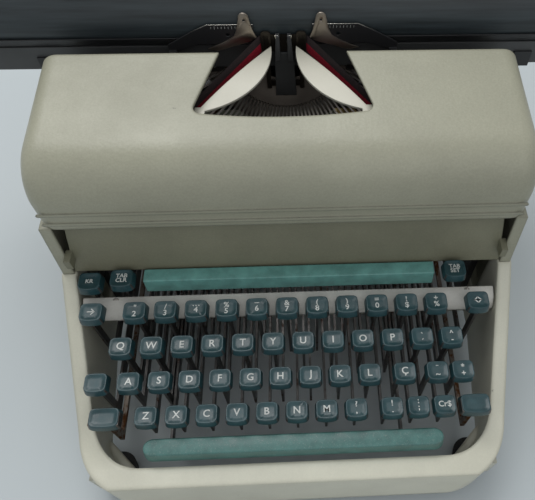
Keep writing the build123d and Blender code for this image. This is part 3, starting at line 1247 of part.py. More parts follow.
wheel_front = RACK_Y + RACK_WIDTH / 2 + 1
with BuildPart() as escapement_wheel:
    with BuildSketch(Plane.XZ.offset(-wheel_front)):
        with Locations((0, ESCAPE_Z)):
            Circle(WHEEL_RADIUS)
            with PolarLocations(WHEEL_RADIUS, WHEEL_TEETH):
                RegularPolygon(1.8, 3, mode=Mode.SUBTRACT)
    extrude(amount=-2)
    with BuildSketch(Plane.XZ.offset(-wheel_front)):
        with Locations((0, ESCAPE_Z)):
            Circle(PINION_RADIUS)
    extrude(amount=RACK_WIDTH + 1)
    with BuildSketch(Plane.XZ.offset(-wheel_front)):
        with Locations((0, ESCAPE_Z)):
            Circle(SHAFT_RADIUS)
    extrude(amount=wheel_front - BEAM_Y - BEAM_THICK)
escapement_wheel.part.label = "escapement_wheel"
export_step(escapement_wheel.part, "parts/escapement_wheel.step")

with BuildPart() as bell:
    with BuildSketch(Plane.XZ):
        with Locations((0, BELL_TOP - BELL_RADIUS)):
            Circle(BELL_RADIUS)
            Circle(BELL_RADIUS - BELL_WALL, mode=Mode.SUBTRACT)
            Rectangle(BELL_RADIUS, BELL_RADIUS, align=(Align.MIN, Align.MIN), mode=Mode.INTERSECT)
    revolve(axis=Axis.Z)
    with BuildSketch(Plane.XY.offset(PAD_TOP)):
        Circle(3)
    extrude(amount=BELL_TOP - BELL_WALL / 2 - PAD_TOP)
bell_ready = bell.part.moved(Location((BELL_X, CROSS_BAR_YS[1], 0)))
bell_ready.label = "bell"
export_step(bell_ready, "parts/bell.step")

with BuildPart() as bell_hammer:
    with BuildSketch(Plane.XZ.offset(-(drum_back - 1))):
        with Locations((HAMMER_X, HAMMER_Z), (HAMMER_X + 1, HAMMER_END_Z)):
            Circle(3)
        make_hull()
    extrude(amount=2)
    with BuildSketch(Plane.XZ.offset(-(drum_back - 1))):
        with Locations((HAMMER_X + 1, HAMMER_END_Z)):
            Circle(4.5)
    extrude(amount=8)
    with BuildSketch(Plane.XZ.offset(-(drum_back - 1))):
        with Locations((HAMMER_X, HAMMER_Z)):
            Circle(SHAFT_RADIUS)
    extrude(amount=-(REAR_BEAM + GAP + 1))
bell_hammer.part.label = "bell_hammer"
export_step(bell_hammer.part, "parts/bell_hammer.step")
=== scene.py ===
# %% [markdown]
# # An office typewriter with a long carriage
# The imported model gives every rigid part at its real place. This lesson dresses it: paints,
# plastics, rubber and plated steel for the parts, and moulded key caps, lettering, screws and
# ribbon as new pieces. Lengths are in metres, +X is to the typist's right, +Y to the back.

# %% Load the frame
import json
from math import cos, pi, radians, sin

import bmesh
import bpy
from mathutils import Matrix, Vector


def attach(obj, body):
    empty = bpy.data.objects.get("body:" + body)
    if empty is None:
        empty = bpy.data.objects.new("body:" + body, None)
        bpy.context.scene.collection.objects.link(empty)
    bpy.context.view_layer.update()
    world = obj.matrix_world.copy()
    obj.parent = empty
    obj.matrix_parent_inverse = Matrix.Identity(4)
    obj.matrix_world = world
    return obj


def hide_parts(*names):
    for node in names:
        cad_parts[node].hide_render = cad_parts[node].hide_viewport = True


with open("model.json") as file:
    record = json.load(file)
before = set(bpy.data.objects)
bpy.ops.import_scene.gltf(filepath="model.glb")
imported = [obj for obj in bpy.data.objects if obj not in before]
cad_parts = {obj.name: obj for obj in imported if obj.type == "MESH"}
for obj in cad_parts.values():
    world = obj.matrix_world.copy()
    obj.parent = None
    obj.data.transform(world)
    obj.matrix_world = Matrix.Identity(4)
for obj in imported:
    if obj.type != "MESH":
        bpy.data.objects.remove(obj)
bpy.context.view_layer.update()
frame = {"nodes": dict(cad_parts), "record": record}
NODES = frame["nodes"]
MM = 0.001

# %% [markdown]
# ## A small kit for finishes
# Every surface here is a Principled shader with a few noise textures around it. A real paint or
# plastic is never one flat colour: it has slow drifts of tone, fine grain in its surface, and
# places where hands have polished or soiled it. One helper keeps the noise nodes tidy, so each
# finish below only has to say how it differs from the others.


# %% Helpers for materials
def start_material(name):
    """An empty material: its node tree, the shader and the object's own coordinates."""
    material = bpy.data.materials.new(name)
    material.use_nodes = True
    nodes = material.node_tree.nodes
    links = material.node_tree.links
    shader = nodes["Principled BSDF"]
    place = nodes.new("ShaderNodeTexCoord").outputs["Object"]
    return material, nodes, links, shader, place


def add_noise(nodes, links, place, scale, detail=3.0, rough=0.5, stretch=None):
    """A noise texture on the object's coordinates, stretched along an axis if asked."""
    noise = nodes.new("ShaderNodeTexNoise")
    noise.inputs["Scale"].default_value = scale
    noise.inputs["Detail"].default_value = detail
    noise.inputs["Roughness"].default_value = rough
    source = place
    if stretch:
        mapping = nodes.new("ShaderNodeMapping")
        mapping.inputs["Scale"].default_value = stretch
        links.new(place, mapping.inputs["Vector"])
        source = mapping.outputs["Vector"]
    links.new(source, noise.inputs["Vector"])
    return noise.outputs["Fac"]


def add_ramp(nodes, links, source, stops):
    """A colour ramp from a list of (position, grey or colour)."""
    ramp = nodes.new("ShaderNodeValToRGB")
    while len(ramp.color_ramp.elements) < len(stops):
        ramp.color_ramp.elements.new(0.5)
    for element, (position, colour) in zip(ramp.color_ramp.elements, stops):
        element.position = position
        rgb = colour if isinstance(colour, tuple) else (colour, colour, colour)
        element.color = (*rgb, 1.0)
    links.new(source, ramp.inputs["Fac"])
    return ramp.outputs["Color"]


def add_mix(nodes, links, factor, first, second):
    """Mixes two colours, each a socket or a plain colour, by a socket or a number."""
    mix = nodes.new("ShaderNodeMix")
    mix.data_type = "RGBA"
    for socket, value in ((mix.inputs[0], factor), (mix.inputs[6], first), (mix.inputs[7], second)):
        if isinstance(value, bpy.types.NodeSocket):
            links.new(value, socket)
        elif isinstance(value, tuple):
            socket.default_value = (*value, 1.0)
        else:
            socket.default_value = value
    return mix.outputs[2]


def add_bump(nodes, links, shader, source, strength, distance, under=None):
    """A bump from a grey texture, on top of another bump if there is one."""
    bump = nodes.new("ShaderNodeBump")
    bump.inputs["Strength"].default_value = strength
    bump.inputs["Distance"].default_value = distance
    links.new(source, bump.inputs["Height"])
    if under:
        links.new(under, bump.inputs["Normal"])
    links.new(bump.outputs["Normal"], shader.inputs["Normal"])
    return bump.outputs["Normal"]


def shade(colour, factor):
    """The same colour, darker or lighter."""
    return tuple(min(1.0, channel * factor) for channel in colour)


print("material helpers ready")


# %% [markdown]
# ## Paints
# The cover and side panels of such machines carry a crinkle paint: it is sprayed thick and
# shrinks into small worms as it dries. Two noises do it, a fine one for the crinkle and a broad
# one for the drift in tone and the grime of years. The cast base has a smoother enamel.


# %% Crinkle paint and enamel
def paint(name, colour, rough, crinkle, grime, speck=0.6, edge=0.0008):
    """Stoved paint: crinkle is the bump's height in metres, grime how far the tone drifts."""
    material, nodes, links, shader, place = start_material(name)
    broad = add_noise(nodes, links, place, 14.0, 4.0, 0.6)
    drift = add_ramp(nodes, links, broad, [(0.32, shade(colour, 1.0 - grime)), (0.68, colour)])
    fine = add_noise(nodes, links, place, 900.0, 2.0, 0.55)
    tone = add_ramp(nodes, links, fine, [(0.35, 0.86), (0.65, 1.0)])
    grain = nodes.new("ShaderNodeMix")
    grain.data_type = "RGBA"
    grain.blend_type = "MULTIPLY"
    grain.inputs[0].default_value = speck
    links.new(drift, grain.inputs[6])
    links.new(tone, grain.inputs[7])
    spots = add_noise(nodes, links, place, 95.0, 5.0, 0.7)
    mask = add_ramp(nodes, links, spots, [(0.70, 0.0), (0.74, 0.75)])
    links.new(add_mix(nodes, links, mask, grain.outputs[2], shade(colour, 0.32)),
              shader.inputs["Base Color"])
    links.new(add_ramp(nodes, links, broad, [(0.3, rough + 0.1), (0.7, rough - 0.06)]),
              shader.inputs["Roughness"])
    coarse = add_noise(nodes, links, place, 420.0, 2.0, 0.5)
    # thick paint flows over sharp edges, and they catch the light as a soft line
    flow = nodes.new("ShaderNodeBevel")
    flow.samples = 6
    flow.inputs["Radius"].default_value = edge
    add_bump(nodes, links, shader, coarse, 0.35, crinkle, flow.outputs["Normal"])
    return material


COVER_COLOUR = (0.335, 0.328, 0.245)
# the front panel's colour is a darker copy of the cover colour: painted shade for the panel that
# leans back under the cover
PANEL_SHADED_COLOUR = (0.205, 0.200, 0.135)
FRAME_COLOUR = (0.63, 0.615, 0.50)
cover_paint = paint("cover_crinkle_paint", COVER_COLOUR, 0.42, 0.0004, 0.14, 0.6, 0.0025)
panel_paint = paint("front_panel_shaded_paint", PANEL_SHADED_COLOUR, 0.5, 0.0004, 0.22)
frame_paint = paint("base_frame_enamel", FRAME_COLOUR, 0.34, 0.00012, 0.16, 0.3, 0.0045)
bar_paint = paint("key_cross_bar_enamel", (0.66, 0.64, 0.58), 0.45, 0.0001, 0.35, 0.4)
rail_paint = paint("margin_rail_enamel", (0.070, 0.072, 0.072), 0.42, 0.00005, 0.3, 0.3)
guard_paint = paint("ribbon_guard_enamel", (0.55, 0.53, 0.44), 0.35, 0.00005, 0.1, 0.2)
black_paint = paint("black_stoving_enamel", (0.018, 0.018, 0.019), 0.38, 0.00008, 0.3, 0.3)
print("paints:", cover_paint.name, panel_paint.name, frame_paint.name)


# %% [markdown]
# ## Metals, plastics and rubber
# Levers and shafts are plain steel that has browned with age, so their metal is broken by rust
# spots. Plated parts stay bright with faint scratches. Key caps are moulded plastic: dark green,
# soft gloss, with a little dust in the grain. The platen is hard black rubber, ground along
# its length and printed on for years.


# %% Steel, plate, plastic, rubber and cloth
def metal(name, colour, rough, rust, rust_colour=(0.16, 0.07, 0.03)):
    """Metal with faint brushing; rust is the share of the surface that has browned."""
    material, nodes, links, shader, place = start_material(name)
    shader.inputs["Metallic"].default_value = 1.0
    patches = add_noise(nodes, links, place, 160.0, 6.0, 0.65)
    edge = 0.78 - 0.36 * rust
    mask = add_ramp(nodes, links, patches, [(edge, 0.0), (edge + 0.10, 1.0)])
    links.new(add_mix(nodes, links, mask, colour, rust_colour), shader.inputs["Base Color"])
    bare = add_ramp(nodes, links, add_noise(nodes, links, place, 60.0), [(0.3, rough - 0.05),
                                                                       (0.7, rough + 0.12)])
    links.new(add_mix(nodes, links, mask, bare, (0.75, 0.75, 0.75)), shader.inputs["Roughness"])
    brushing = add_noise(nodes, links, place, 500.0, 2.0, 0.5, (1.0, 0.08, 1.0))
    add_bump(nodes, links, shader, brushing, 0.12, 0.0002)
    return material


def plastic(name, colour, rough, dust):
    """Moulded plastic with dust in its grain and a soft gloss."""
    material, nodes, links, shader, place = start_material(name)
    cloud = add_noise(nodes, links, place, 120.0, 4.0, 0.6)
    tone = add_ramp(nodes, links, cloud, [(0.35, colour), (0.8, shade(colour, 1.6))])
    specks = add_noise(nodes, links, place, 1500.0, 2.0, 0.5)
    mask = add_ramp(nodes, links, specks, [(0.58, 0.0), (0.72, dust)])
    links.new(add_mix(nodes, links, mask, tone, (0.30, 0.33, 0.31)), shader.inputs["Base Color"])
    links.new(add_ramp(nodes, links, cloud, [(0.3, rough), (0.75, rough + 0.18)]),
              shader.inputs["Roughness"])
    add_bump(nodes, links, shader, specks, 0.10, 0.0001)
    return material


def rubber(name, colour, rough, grain_scale, stretch):
    """Matt rubber with grinding marks along one axis."""
    material, nodes, links, shader, place = start_material(name)
    marks = add_noise(nodes, links, place, grain_scale, 3.0, 0.6, stretch)
    links.new(add_ramp(nodes, links, marks, [(0.3, shade(colour, 0.7)), (0.7, shade(colour, 1.5))]),
              shader.inputs["Base Color"])
    shader.inputs["Roughness"].default_value = rough
    add_bump(nodes, links, shader, marks, 0.15, 0.0003)
    return material


steel = metal("aged_steel", (0.30, 0.28, 0.25), 0.38, 0.55)
rusty_steel = metal("browned_lever_steel", (0.22, 0.19, 0.16), 0.45, 0.85)
lever_steel = metal("key_lever_steel", (0.15, 0.145, 0.14), 0.45, 0.6, (0.10, 0.055, 0.035))
nickel = metal("nickel_plate", (0.58, 0.56, 0.51), 0.20, 0.12)
type_metal = metal("type_bar_steel", (0.42, 0.39, 0.35), 0.33, 0.30)
segment_metal = metal("type_segment_steel", (0.075, 0.065, 0.055), 0.42, 0.45,
                      (0.05, 0.03, 0.02))
brass = metal("bell_brass", (0.62, 0.43, 0.18), 0.28, 0.20, (0.12, 0.07, 0.03))
KEY_COLOUR = (0.013, 0.042, 0.048)
BAR_COLOUR = (0.052, 0.132, 0.118)
key_plastic = plastic("key_cap_plastic", KEY_COLOUR, 0.27, 0.08)
bar_plastic = plastic("bar_plastic", BAR_COLOUR, 0.34, 0.4)
# painted light: a lighter copy of the bar plastic, so that the tab bar, which sits in shade, is as
# bright as the space bar
tab_bar_painted_light_plastic = plastic("tab_bar_plastic_painted_light", shade(BAR_COLOUR, 1.8), 0.34, 0.4)
knob_plastic = plastic("knob_plastic", (0.012, 0.012, 0.013), 0.32, 0.2)
platen_rubber = rubber("platen_rubber", (0.026, 0.034, 0.037), 0.5, 300.0, (0.05, 1.0, 1.0))
foot_rubber = rubber("foot_rubber", (0.02, 0.02, 0.02), 0.8, 700.0, (1.0, 1.0, 0.2))
print("metals, plastics and rubbers ready")

# %% [markdown]
# ## Dressing the frame's own parts
# A table of part and finish is the clearest way to see what is painted, plated or moulded.

# %% Assign finishes
FINISHES = {
    "cover_paint": (cover_paint, ["top_cover", "side_panel_left", "side_panel_right",
                                  "rear_panel"]),
    # the front panel gets the darkened cover paint, which is painted shade
    "panel_paint": (panel_paint, ["front_panel"]),
    "frame_enamel": (frame_paint, ["base_frame"]),
    "bar_enamel": (bar_paint, ["key_cross_bar"]),
    "ivory_guard": (guard_paint, ["ribbon_guards"]),
    "black_steel": (black_paint, ["mechanism_frame", "card_holders", "ribbon_spool_left",
                                  "ribbon_spool_right", "carriage_bed", "carriage_ends",
                                  "paper_apron", "paper_table", "margin_stop_left",
                                  "margin_stop_right", "mainspring_drum"]),
    "steel": (rusty_steel, ["lever_shafts", "shift_shaft", "type_rest", "bell_hammer",
                            "carriage_rails", "platen_shaft"]),
    "dark_enamel": (rail_paint, ["margin_rail", "type_guide"]),
    "nickel": (nickel, ["card_finger_left", "card_finger_right", "paper_bail", "return_lever",
                        "paper_release_lever"]),
    "type_metal": (type_metal, ["type_bars", "type_bar_h"]),
    "segment": (segment_metal, ["type_segment", "ribbon_vibrator"]),
    "brass": (brass, ["bell", "escapement_wheel"]),
    "key_levers": (lever_steel, [f"keys_bank_{bank}" for bank in range(1, 7)]
                   + ["key_h", "backspace_key", "margin_release_key", "key_release_key",
                      "tab_clear_key", "tab_set_key", "shift_keys", "shift_lock_key",
                      "space_bar", "tab_bar"]),
    "platen_rubber": (platen_rubber, ["platen_roller"]),
    "foot_rubber": (foot_rubber, ["rubber_feet", "feed_rollers_front", "feed_rollers_rear"]),
    "knob_plastic": (knob_plastic, ["platen_knobs"]),
}
ribbon_cloth = rubber("ribbon_cloth", (0.03, 0.02, 0.02), 0.9, 900.0, (1.0, 1.0, 1.0))
FINISHES["ribbon_cloth"] = (ribbon_cloth, ["ribbon_runs"])
for material, names in FINISHES.values():
    for name in names:
        NODES[name].data.materials.clear()
        NODES[name].data.materials.append(material)
print("parts dressed:", sum(len(names) for material, names in FINISHES.values()))

# %% [markdown]
# ## Key caps
# A typewriter's cap is a moulded block with a shallow dish for the fingertip and a raised rim, and
# that rim is what catches the light along its front edge. It starts here as a box. Its long edges
# are divided so that the front can bow out, and the top is drawn in for the mould's taper. The top
# face is then extruded, drawn in and let down three times, which makes the rim and the dish. One
# cap is modelled with care and then copied to every lever.

# %% Where the keys stand
PITCH = 19.05 * MM
ROW_STEP_Y = 18.4 * MM
ROW_STEP_Z = 12.5 * MM
FRONT_ROW_Y = -139.0 * MM
FRONT_ROW_TOP = 69.9 * MM
ROW_START_X = (-97.7 * MM, -107.2 * MM, -103.2 * MM, -93.3 * MM)
CAP_SHIFTS = {(2, 9): 3.5 * MM, (2, 10): 5.5 * MM, (2, 11): 3.0 * MM, (3, 8): 4.0 * MM,
              (3, 9): 2.0 * MM}
ROWS = (("\"\n2", "/\n3", "…\n4", "%\n5", "–\n6", "&\n7", "(\n8", ")\n9", "=\n0", "!\n$",
         "+\n%"),
        tuple("QWERTYUIOP") + ("`\n´", "^\n-"),
        tuple("ASDFGHJKL") + ("Ç", "¨\n~", "*\n+"),
        tuple("ZXCVBNM") + ("?\n,", "!\n.", ":\n;", "Cr$"))


def row_y(row):
    return FRONT_ROW_Y + (3 - row) * ROW_STEP_Y


def row_top(row):
    return FRONT_ROW_TOP + (3 - row) * ROW_STEP_Z


print("rows at", [round(row_y(row), 4) for row in range(4)])


# %% Helpers for modelling by hand
def deselect_all():
    if bpy.context.object and bpy.context.object.mode != "OBJECT":
        bpy.ops.object.mode_set(mode="OBJECT")
    bpy.ops.object.select_all(action="DESELECT")


def pick(piece, wanted, kind="FACE"):
    """Selects the faces, edges or vertices for which wanted(element) is true, in edit mode."""
    bpy.ops.mesh.select_mode(type=kind)
    bpy.ops.mesh.select_all(action="DESELECT")
    mesh = bmesh.from_edit_mesh(piece.data)
    group = {"FACE": mesh.faces, "EDGE": mesh.edges, "VERT": mesh.verts}[kind]
    for element in group:
        element.select_set(wanted(element))
    mesh.select_flush_mode()
    bmesh.update_edit_mesh(piece.data)


def middle(element):
    """Centre of a face or an edge."""
    if hasattr(element, "calc_center_median"):
        return element.calc_center_median()
    return (element.verts[0].co + element.verts[1].co) / 2


def start_box(name, size, place):
    """A box of a size at a place, opened in edit mode."""
    deselect_all()
    bpy.ops.mesh.primitive_cube_add(size=1.0, location=(0, 0, 0))
    piece = bpy.context.active_object
    piece.name = name
    bpy.ops.object.mode_set(mode="EDIT")
    bpy.ops.mesh.select_all(action="SELECT")
    bpy.ops.transform.resize(value=size)
    bpy.ops.transform.translate(value=place)
    return piece


def finish_piece(piece, material, angle=35.0):
    """Back to object mode, smooth by angle, with its material."""
    if bpy.context.object.mode != "OBJECT":
        bpy.ops.object.mode_set(mode="OBJECT")
    deselect_all()
    piece.select_set(True)
    bpy.context.view_layer.objects.active = piece
    bpy.ops.object.shade_smooth_by_angle(angle=radians(angle))
    piece.data.materials.clear()
    piece.data.materials.append(material)
    return piece


def copy_to(piece, name, place, squeeze=None):
    """A copy of a piece with its own mesh, moved to a place."""
    twin = piece.copy()
    twin.data = piece.data.copy()
    twin.name = name
    twin.data.name = name
    bpy.context.scene.collection.objects.link(twin)
    if squeeze:
        twin.data.transform(Matrix.Diagonal((*squeeze, 1.0)))
    twin.data.transform(Matrix.Translation(place))
    return twin


def join_all(pieces, name):
    """Joins pieces into one mesh."""
    deselect_all()
    for piece in pieces:
        piece.select_set(True)
    bpy.context.view_layer.objects.active = pieces[0]
    if len(pieces) > 1:
        bpy.ops.object.join()
    joined = bpy.context.view_layer.objects.active
    joined.name = name
    joined.data.name = name
    return joined


def remove(piece):
    bpy.data.objects.remove(piece, do_unlink=True)


print("modelling helpers ready")

# %% Model one cap
# the moulding stands one SHELL outside the frame's plain cap on every side
CAP_WIDTH = 14.6 * MM
CAP_DEPTH = 11.6 * MM
CAP_HEIGHT = 5.0 * MM
CAP_BULGE = 1.2 * MM
SHELL = 0.3 * MM
CAP_RIM = 0.75 * MM
DISH = 0.62 * MM
CAP_TAPER = 0.89
CAP_CORNER = 2.4 * MM
CAP_EDGE = 0.22 * MM
DISH_STEPS = ((0.75 * MM, 0), (0.9 * MM, DISH), (1.6 * MM, 0.06 * MM))
COLUMNS = 6


def cap_shell(name, width):
    """One cap with its top rim at the origin: a box, bowed, tapered, bevelled and dished."""
    shell_width, shell_depth = width + 2 * SHELL, CAP_DEPTH + 2 * SHELL
    height = CAP_HEIGHT + SHELL + CAP_RIM
    piece = start_box(name, (shell_width, shell_depth, height), (0, 0, -height / 2))
    pick(piece, lambda edge: abs(edge.verts[0].co.x - edge.verts[1].co.x) > width / 2, "EDGE")
    bpy.ops.mesh.subdivide(number_cuts=COLUMNS - 1)
    for column in range(1, COLUMNS):
        x = shell_width * (column / COLUMNS - 0.5)
        bow = CAP_BULGE * (1 - (2 * x / shell_width) ** 2)
        pick(piece, lambda vert: abs(vert.co.x - x) < 1e-5 and vert.co.y < 0, "VERT")
        bpy.ops.transform.translate(value=(0, -bow, 0))
        pick(piece, lambda vert: abs(vert.co.x - x) < 1e-5 and vert.co.y > 0, "VERT")
        bpy.ops.transform.translate(value=(0, bow / 3, 0))
    pick(piece, lambda face: face.normal.z > 0.9)
    bpy.ops.transform.resize(value=(CAP_TAPER, CAP_TAPER, 1))
    pick(piece, lambda edge: abs(edge.verts[0].co.z - edge.verts[1].co.z) > height / 2
         and abs(middle(edge).x) > width * 0.4, "EDGE")
    bpy.ops.mesh.bevel(offset=CAP_CORNER, segments=5, affect="EDGES")
    pick(piece, lambda face: face.normal.z > 0.9)
    top_size = Vector((shell_width * CAP_TAPER, shell_depth * CAP_TAPER, 0))
    for border, drop in DISH_STEPS:
        bpy.ops.mesh.extrude_region_move()
        bpy.ops.transform.resize(value=(1 - 2 * border / top_size.x,
                                        1 - 2 * border / top_size.y, 1))
        bpy.ops.transform.translate(value=(0, 0, -drop))
        top_size -= Vector((2 * border, 2 * border, 0))
    pick(piece, lambda edge: edge.calc_face_angle(0) > 0.9 and middle(edge).z > -0.1 * MM,
         "EDGE")
    bpy.ops.mesh.bevel(offset=CAP_EDGE, segments=2, affect="EDGES")
    return finish_piece(piece, key_plastic, 50.0)


letter_cap = cap_shell("letter_cap", CAP_WIDTH)
print("one cap:", len(letter_cap.data.polygons), "faces")

# %% [markdown]
# ## Lettering
# The letters are filled with white paint and lie in the dish. Blender's text objects already hold
# good outlines, so each legend is typed, centred, made a mesh and laid just above the plastic.
# The keys of one bank swing together, so their caps are joined, and so are their letters.

# %% Type the legends and set the caps
legend_white = paint("legend_white", (0.70, 0.72, 0.68), 0.5, 0.00001, 0.25, 0.2)
LETTER_SIZE = 6.5 * MM
SIGN_SIZE = 5.2 * MM
WORD_SIZE = 3.9 * MM
LEGEND_LIFT = 0.05 * MM
LEGEND_THICK = 0.015 * MM
LEGEND_BOLD = 0.09 * MM
LINE_SPACE = 0.82


def body_of(node):
    """Name of the body that carries a part of the frame."""
    for body, nodes_on_it in frame["record"]["behaviour"]["bodies"].items():
        if node in nodes_on_it:
            return body
    raise KeyError(node)


def legend(text, name, size, place, both_ways=False):
    """White lettering, centred on a place; both_ways adds the same once more, half turned."""
    deselect_all()
    bpy.ops.object.text_add(location=(0, 0, 0))
    words = bpy.context.active_object
    words.data.body = text
    words.data.size = size
    words.data.space_line = LINE_SPACE
    words.data.align_x = "CENTER"
    words.data.align_y = "CENTER"
    words.data.extrude = LEGEND_THICK
    words.data.offset = LEGEND_BOLD
    words.data.resolution_u = 3
    bpy.ops.object.convert(target="MESH")
    words = bpy.context.active_object
    words.name = name
    low = [min(vert.co[axis] for vert in words.data.vertices) for axis in (0, 1)]
    high = [max(vert.co[axis] for vert in words.data.vertices) for axis in (0, 1)]
    centre = Vector(((low[0] + high[0]) / 2, (low[1] + high[1]) / 2, 0))
    words.data.transform(Matrix.Translation(-centre))
    if both_ways:
        words = join_all([words, copy_to(words, "turned", (0, 0, 0), (-1, -1, 1))], name)
    words.data.transform(Matrix.Translation(place))
    words.data.materials.clear()
    words.data.materials.append(legend_white)
    return words


def set_on(piece, node):
    """Lets a piece move with the part that carries it."""
    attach(piece, body_of(node))
    return piece


dish_floor = CAP_RIM - DISH + LEGEND_LIFT
caps_of = {}
legends_of = {}
for row, texts in enumerate(ROWS):
    for column, text in enumerate(texts):
        node = "key_h" if text == "H" else f"keys_bank_{column // 2 + 1}"
        x = ROW_START_X[row] + column * PITCH + CAP_SHIFTS.get((row, column), 0)
        top = row_top(row)
        cap = copy_to(letter_cap, f"cap_{row}_{column}", (x, row_y(row), top + CAP_RIM))
        caps_of.setdefault(node, []).append(cap)
        size = LETTER_SIZE if len(text) == 1 else SIGN_SIZE
        words = legend(text, f"legend_{row}_{column}", size, (x, row_y(row), top + dish_floor))
        legends_of.setdefault(node, []).append(words)
print("lettered caps:", sum(len(caps) for caps in caps_of.values()))

# %% Set the function keys and the shift keys
TAB_KEY_Y = -64.5 * MM
TAB_KEY_TOP = 115.2 * MM
KEY_RELEASE_TOP = 112.2 * MM
FUNCTION_CAPS = (
    ("backspace_key", -124.5 * MM, row_y(0), row_top(0), "→", LETTER_SIZE),
    ("margin_release_key", 119.8 * MM, row_y(0), row_top(0), "→", LETTER_SIZE),
    ("key_release_key", -127.0 * MM, TAB_KEY_Y, KEY_RELEASE_TOP, "KR", WORD_SIZE),
    ("tab_clear_key", -106.2 * MM, TAB_KEY_Y, TAB_KEY_TOP, "TAB\nCLR", WORD_SIZE),
    ("tab_set_key", 106.2 * MM, TAB_KEY_Y, TAB_KEY_TOP, "TAB\nSET", WORD_SIZE),
    ("shift_lock_key", -123.5 * MM, row_y(2), row_top(2), "", LETTER_SIZE),
)
for node, x, y, top, text, size in FUNCTION_CAPS:
    caps_of[node] = [copy_to(letter_cap, f"cap_of_{node}", (x, y, top + CAP_RIM))]
    if text:
        legends_of[node] = [legend(text, f"legend_of_{node}", size, (x, y, top + dish_floor),
                                   node == "margin_release_key")]
SHIFT_KEY_XS = (-119.3 * MM, 117.2 * MM)
SHIFT_CAP_WIDTH = 19.8 * MM
shift_cap = cap_shell("shift_cap", SHIFT_CAP_WIDTH)
caps_of["shift_keys"] = [copy_to(shift_cap, f"shift_cap_{number}",
                                 (x, row_y(3), row_top(3) + CAP_RIM))
                         for number, x in enumerate(SHIFT_KEY_XS)]
for node, caps in caps_of.items():
    set_on(join_all(caps, f"caps_{node}"), node)
for node, words in legends_of.items():
    set_on(join_all(words, f"legends_{node}"), node)
remove(letter_cap)
remove(shift_cap)
print("caps on", len(caps_of), "parts, legends on", len(legends_of))

# %% [markdown]
# ## Space bar and tabulator bar
# The space bar is one long moulding with round ends and a soft top edge; the tabulator bar above
# the keys is a straight one with square ends. Both start as boxes over the frame's own bars, get
# their plan from a bevel of the upright corners, and their soft edge from a second, finer one.

# %% Mould the two bars
def bar_shell(name, node, low, high, corner, taper, edge):
    """A moulded bar over a box from low to high, with corner radius, draft and a soft edge."""
    low, high = Vector(low), Vector(high)
    size, centre = high - low, (low + high) / 2
    piece = start_box(name, size, centre)
    pick(piece, lambda side: abs(side.verts[0].co.z - side.verts[1].co.z) > size.z / 2, "EDGE")
    bpy.ops.mesh.bevel(offset=corner, segments=8, affect="EDGES")
    pick(piece, lambda face: face.normal.z > 0.9)
    bpy.ops.transform.resize(value=(1 - taper / size.x, 1 - taper / size.y, 1))
    pick(piece, lambda side: middle(side).z > high.z - 0.01 * MM, "EDGE")
    bpy.ops.mesh.bevel(offset=edge, segments=3, affect="EDGES")
    finish_piece(piece, bar_plastic, 40.0)
    return set_on(piece, node)


SPACE_HALF = 97.1 * MM
SPACE_FRONT, SPACE_BACK = -161.9 * MM, -149.3 * MM
SPACE_TOP, SPACE_HEIGHT = 57.3 * MM, 9.0 * MM
TAB_HALF = 93.25 * MM
TAB_FRONT, TAB_BACK = -66.5 * MM, -57.5 * MM
TAB_TOP, TAB_HEIGHT = 113.0 * MM, 12.0 * MM
bar_shell("space_bar_shell", "space_bar",
          (-SPACE_HALF - SHELL, SPACE_FRONT - SHELL, SPACE_TOP - SPACE_HEIGHT - SHELL),
          (SPACE_HALF + SHELL, SPACE_BACK + SHELL, SPACE_TOP + SHELL),
          corner=6.2 * MM, taper=2.6 * MM, edge=1.1 * MM)
tab_shell = bar_shell("tab_bar_shell", "tab_bar",
                      (-TAB_HALF - SHELL, TAB_FRONT - SHELL, TAB_TOP - TAB_HEIGHT - SHELL),
                      (TAB_HALF + SHELL, TAB_BACK + SHELL, TAB_TOP + SHELL),
                      corner=0.8 * MM, taper=0.6 * MM, edge=0.7 * MM)
# the tab bar takes the lighter copy of the bar plastic, which is painted light
tab_shell.data.materials[0] = tab_bar_painted_light_plastic

# %% [markdown]
# ## Small plates around the printing point
# On each side of the printing point stands a black scale plate with a bright edge and fine marks,
# and in front of it a card finger: a stamped plate with a round nose, a hole for a pencil and a
# wing that braces it. A stamped plate is a disc whose rim is pulled to the outline and then made
# thick. Its hole is cut by a cylinder, and a fine bevel takes the sharpness off its edges.


# %% Tools for stamped plates
def stamped_plate(name, outline, back, thick):
    """A plate parallel to the platen: a filled ring pulled to an outline of (x, z) points."""
    deselect_all()
    bpy.ops.mesh.primitive_circle_add(vertices=len(outline), radius=1.0, fill_type="NGON")
    plate = bpy.context.active_object
    plate.name = name
    bpy.ops.object.mode_set(mode="EDIT")
    for number, (x, z) in enumerate(outline):
        pick(plate, lambda vert: vert.index == number, "VERT")
        mesh = bmesh.from_edit_mesh(plate.data)
        mesh.verts.ensure_lookup_table()
        here = mesh.verts[number].co.copy()
        bpy.ops.transform.translate(value=Vector((x, back, z)) - here)
    bpy.ops.mesh.select_all(action="SELECT")
    bpy.ops.mesh.normals_make_consistent(inside=False)
    bpy.ops.mesh.extrude_region_move(TRANSFORM_OT_translate={"value": (0, -thick, 0)})
    bpy.ops.mesh.select_all(action="SELECT")
    bpy.ops.mesh.normals_make_consistent(inside=False)
    bpy.ops.object.mode_set(mode="OBJECT")
    return plate


def cut(piece, cutter):
    """Cuts one piece out of another."""
    deselect_all()
    bpy.context.view_layer.objects.active = piece
    piece.select_set(True)
    bpy.ops.object.modifier_add(type="BOOLEAN")
    boolean = piece.modifiers[-1]
    boolean.operation = "DIFFERENCE"
    boolean.solver = "EXACT"
    boolean.object = cutter
    bpy.ops.object.modifier_apply(modifier=boolean.name)
    remove(cutter)
    return piece


def drill(piece, place, radius, length):
    """A round hole along Y through a piece."""
    deselect_all()
    bpy.ops.mesh.primitive_cylinder_add(vertices=24, radius=radius, depth=length, location=place,
                                        rotation=(pi / 2, 0, 0))
    return cut(piece, bpy.context.active_object)


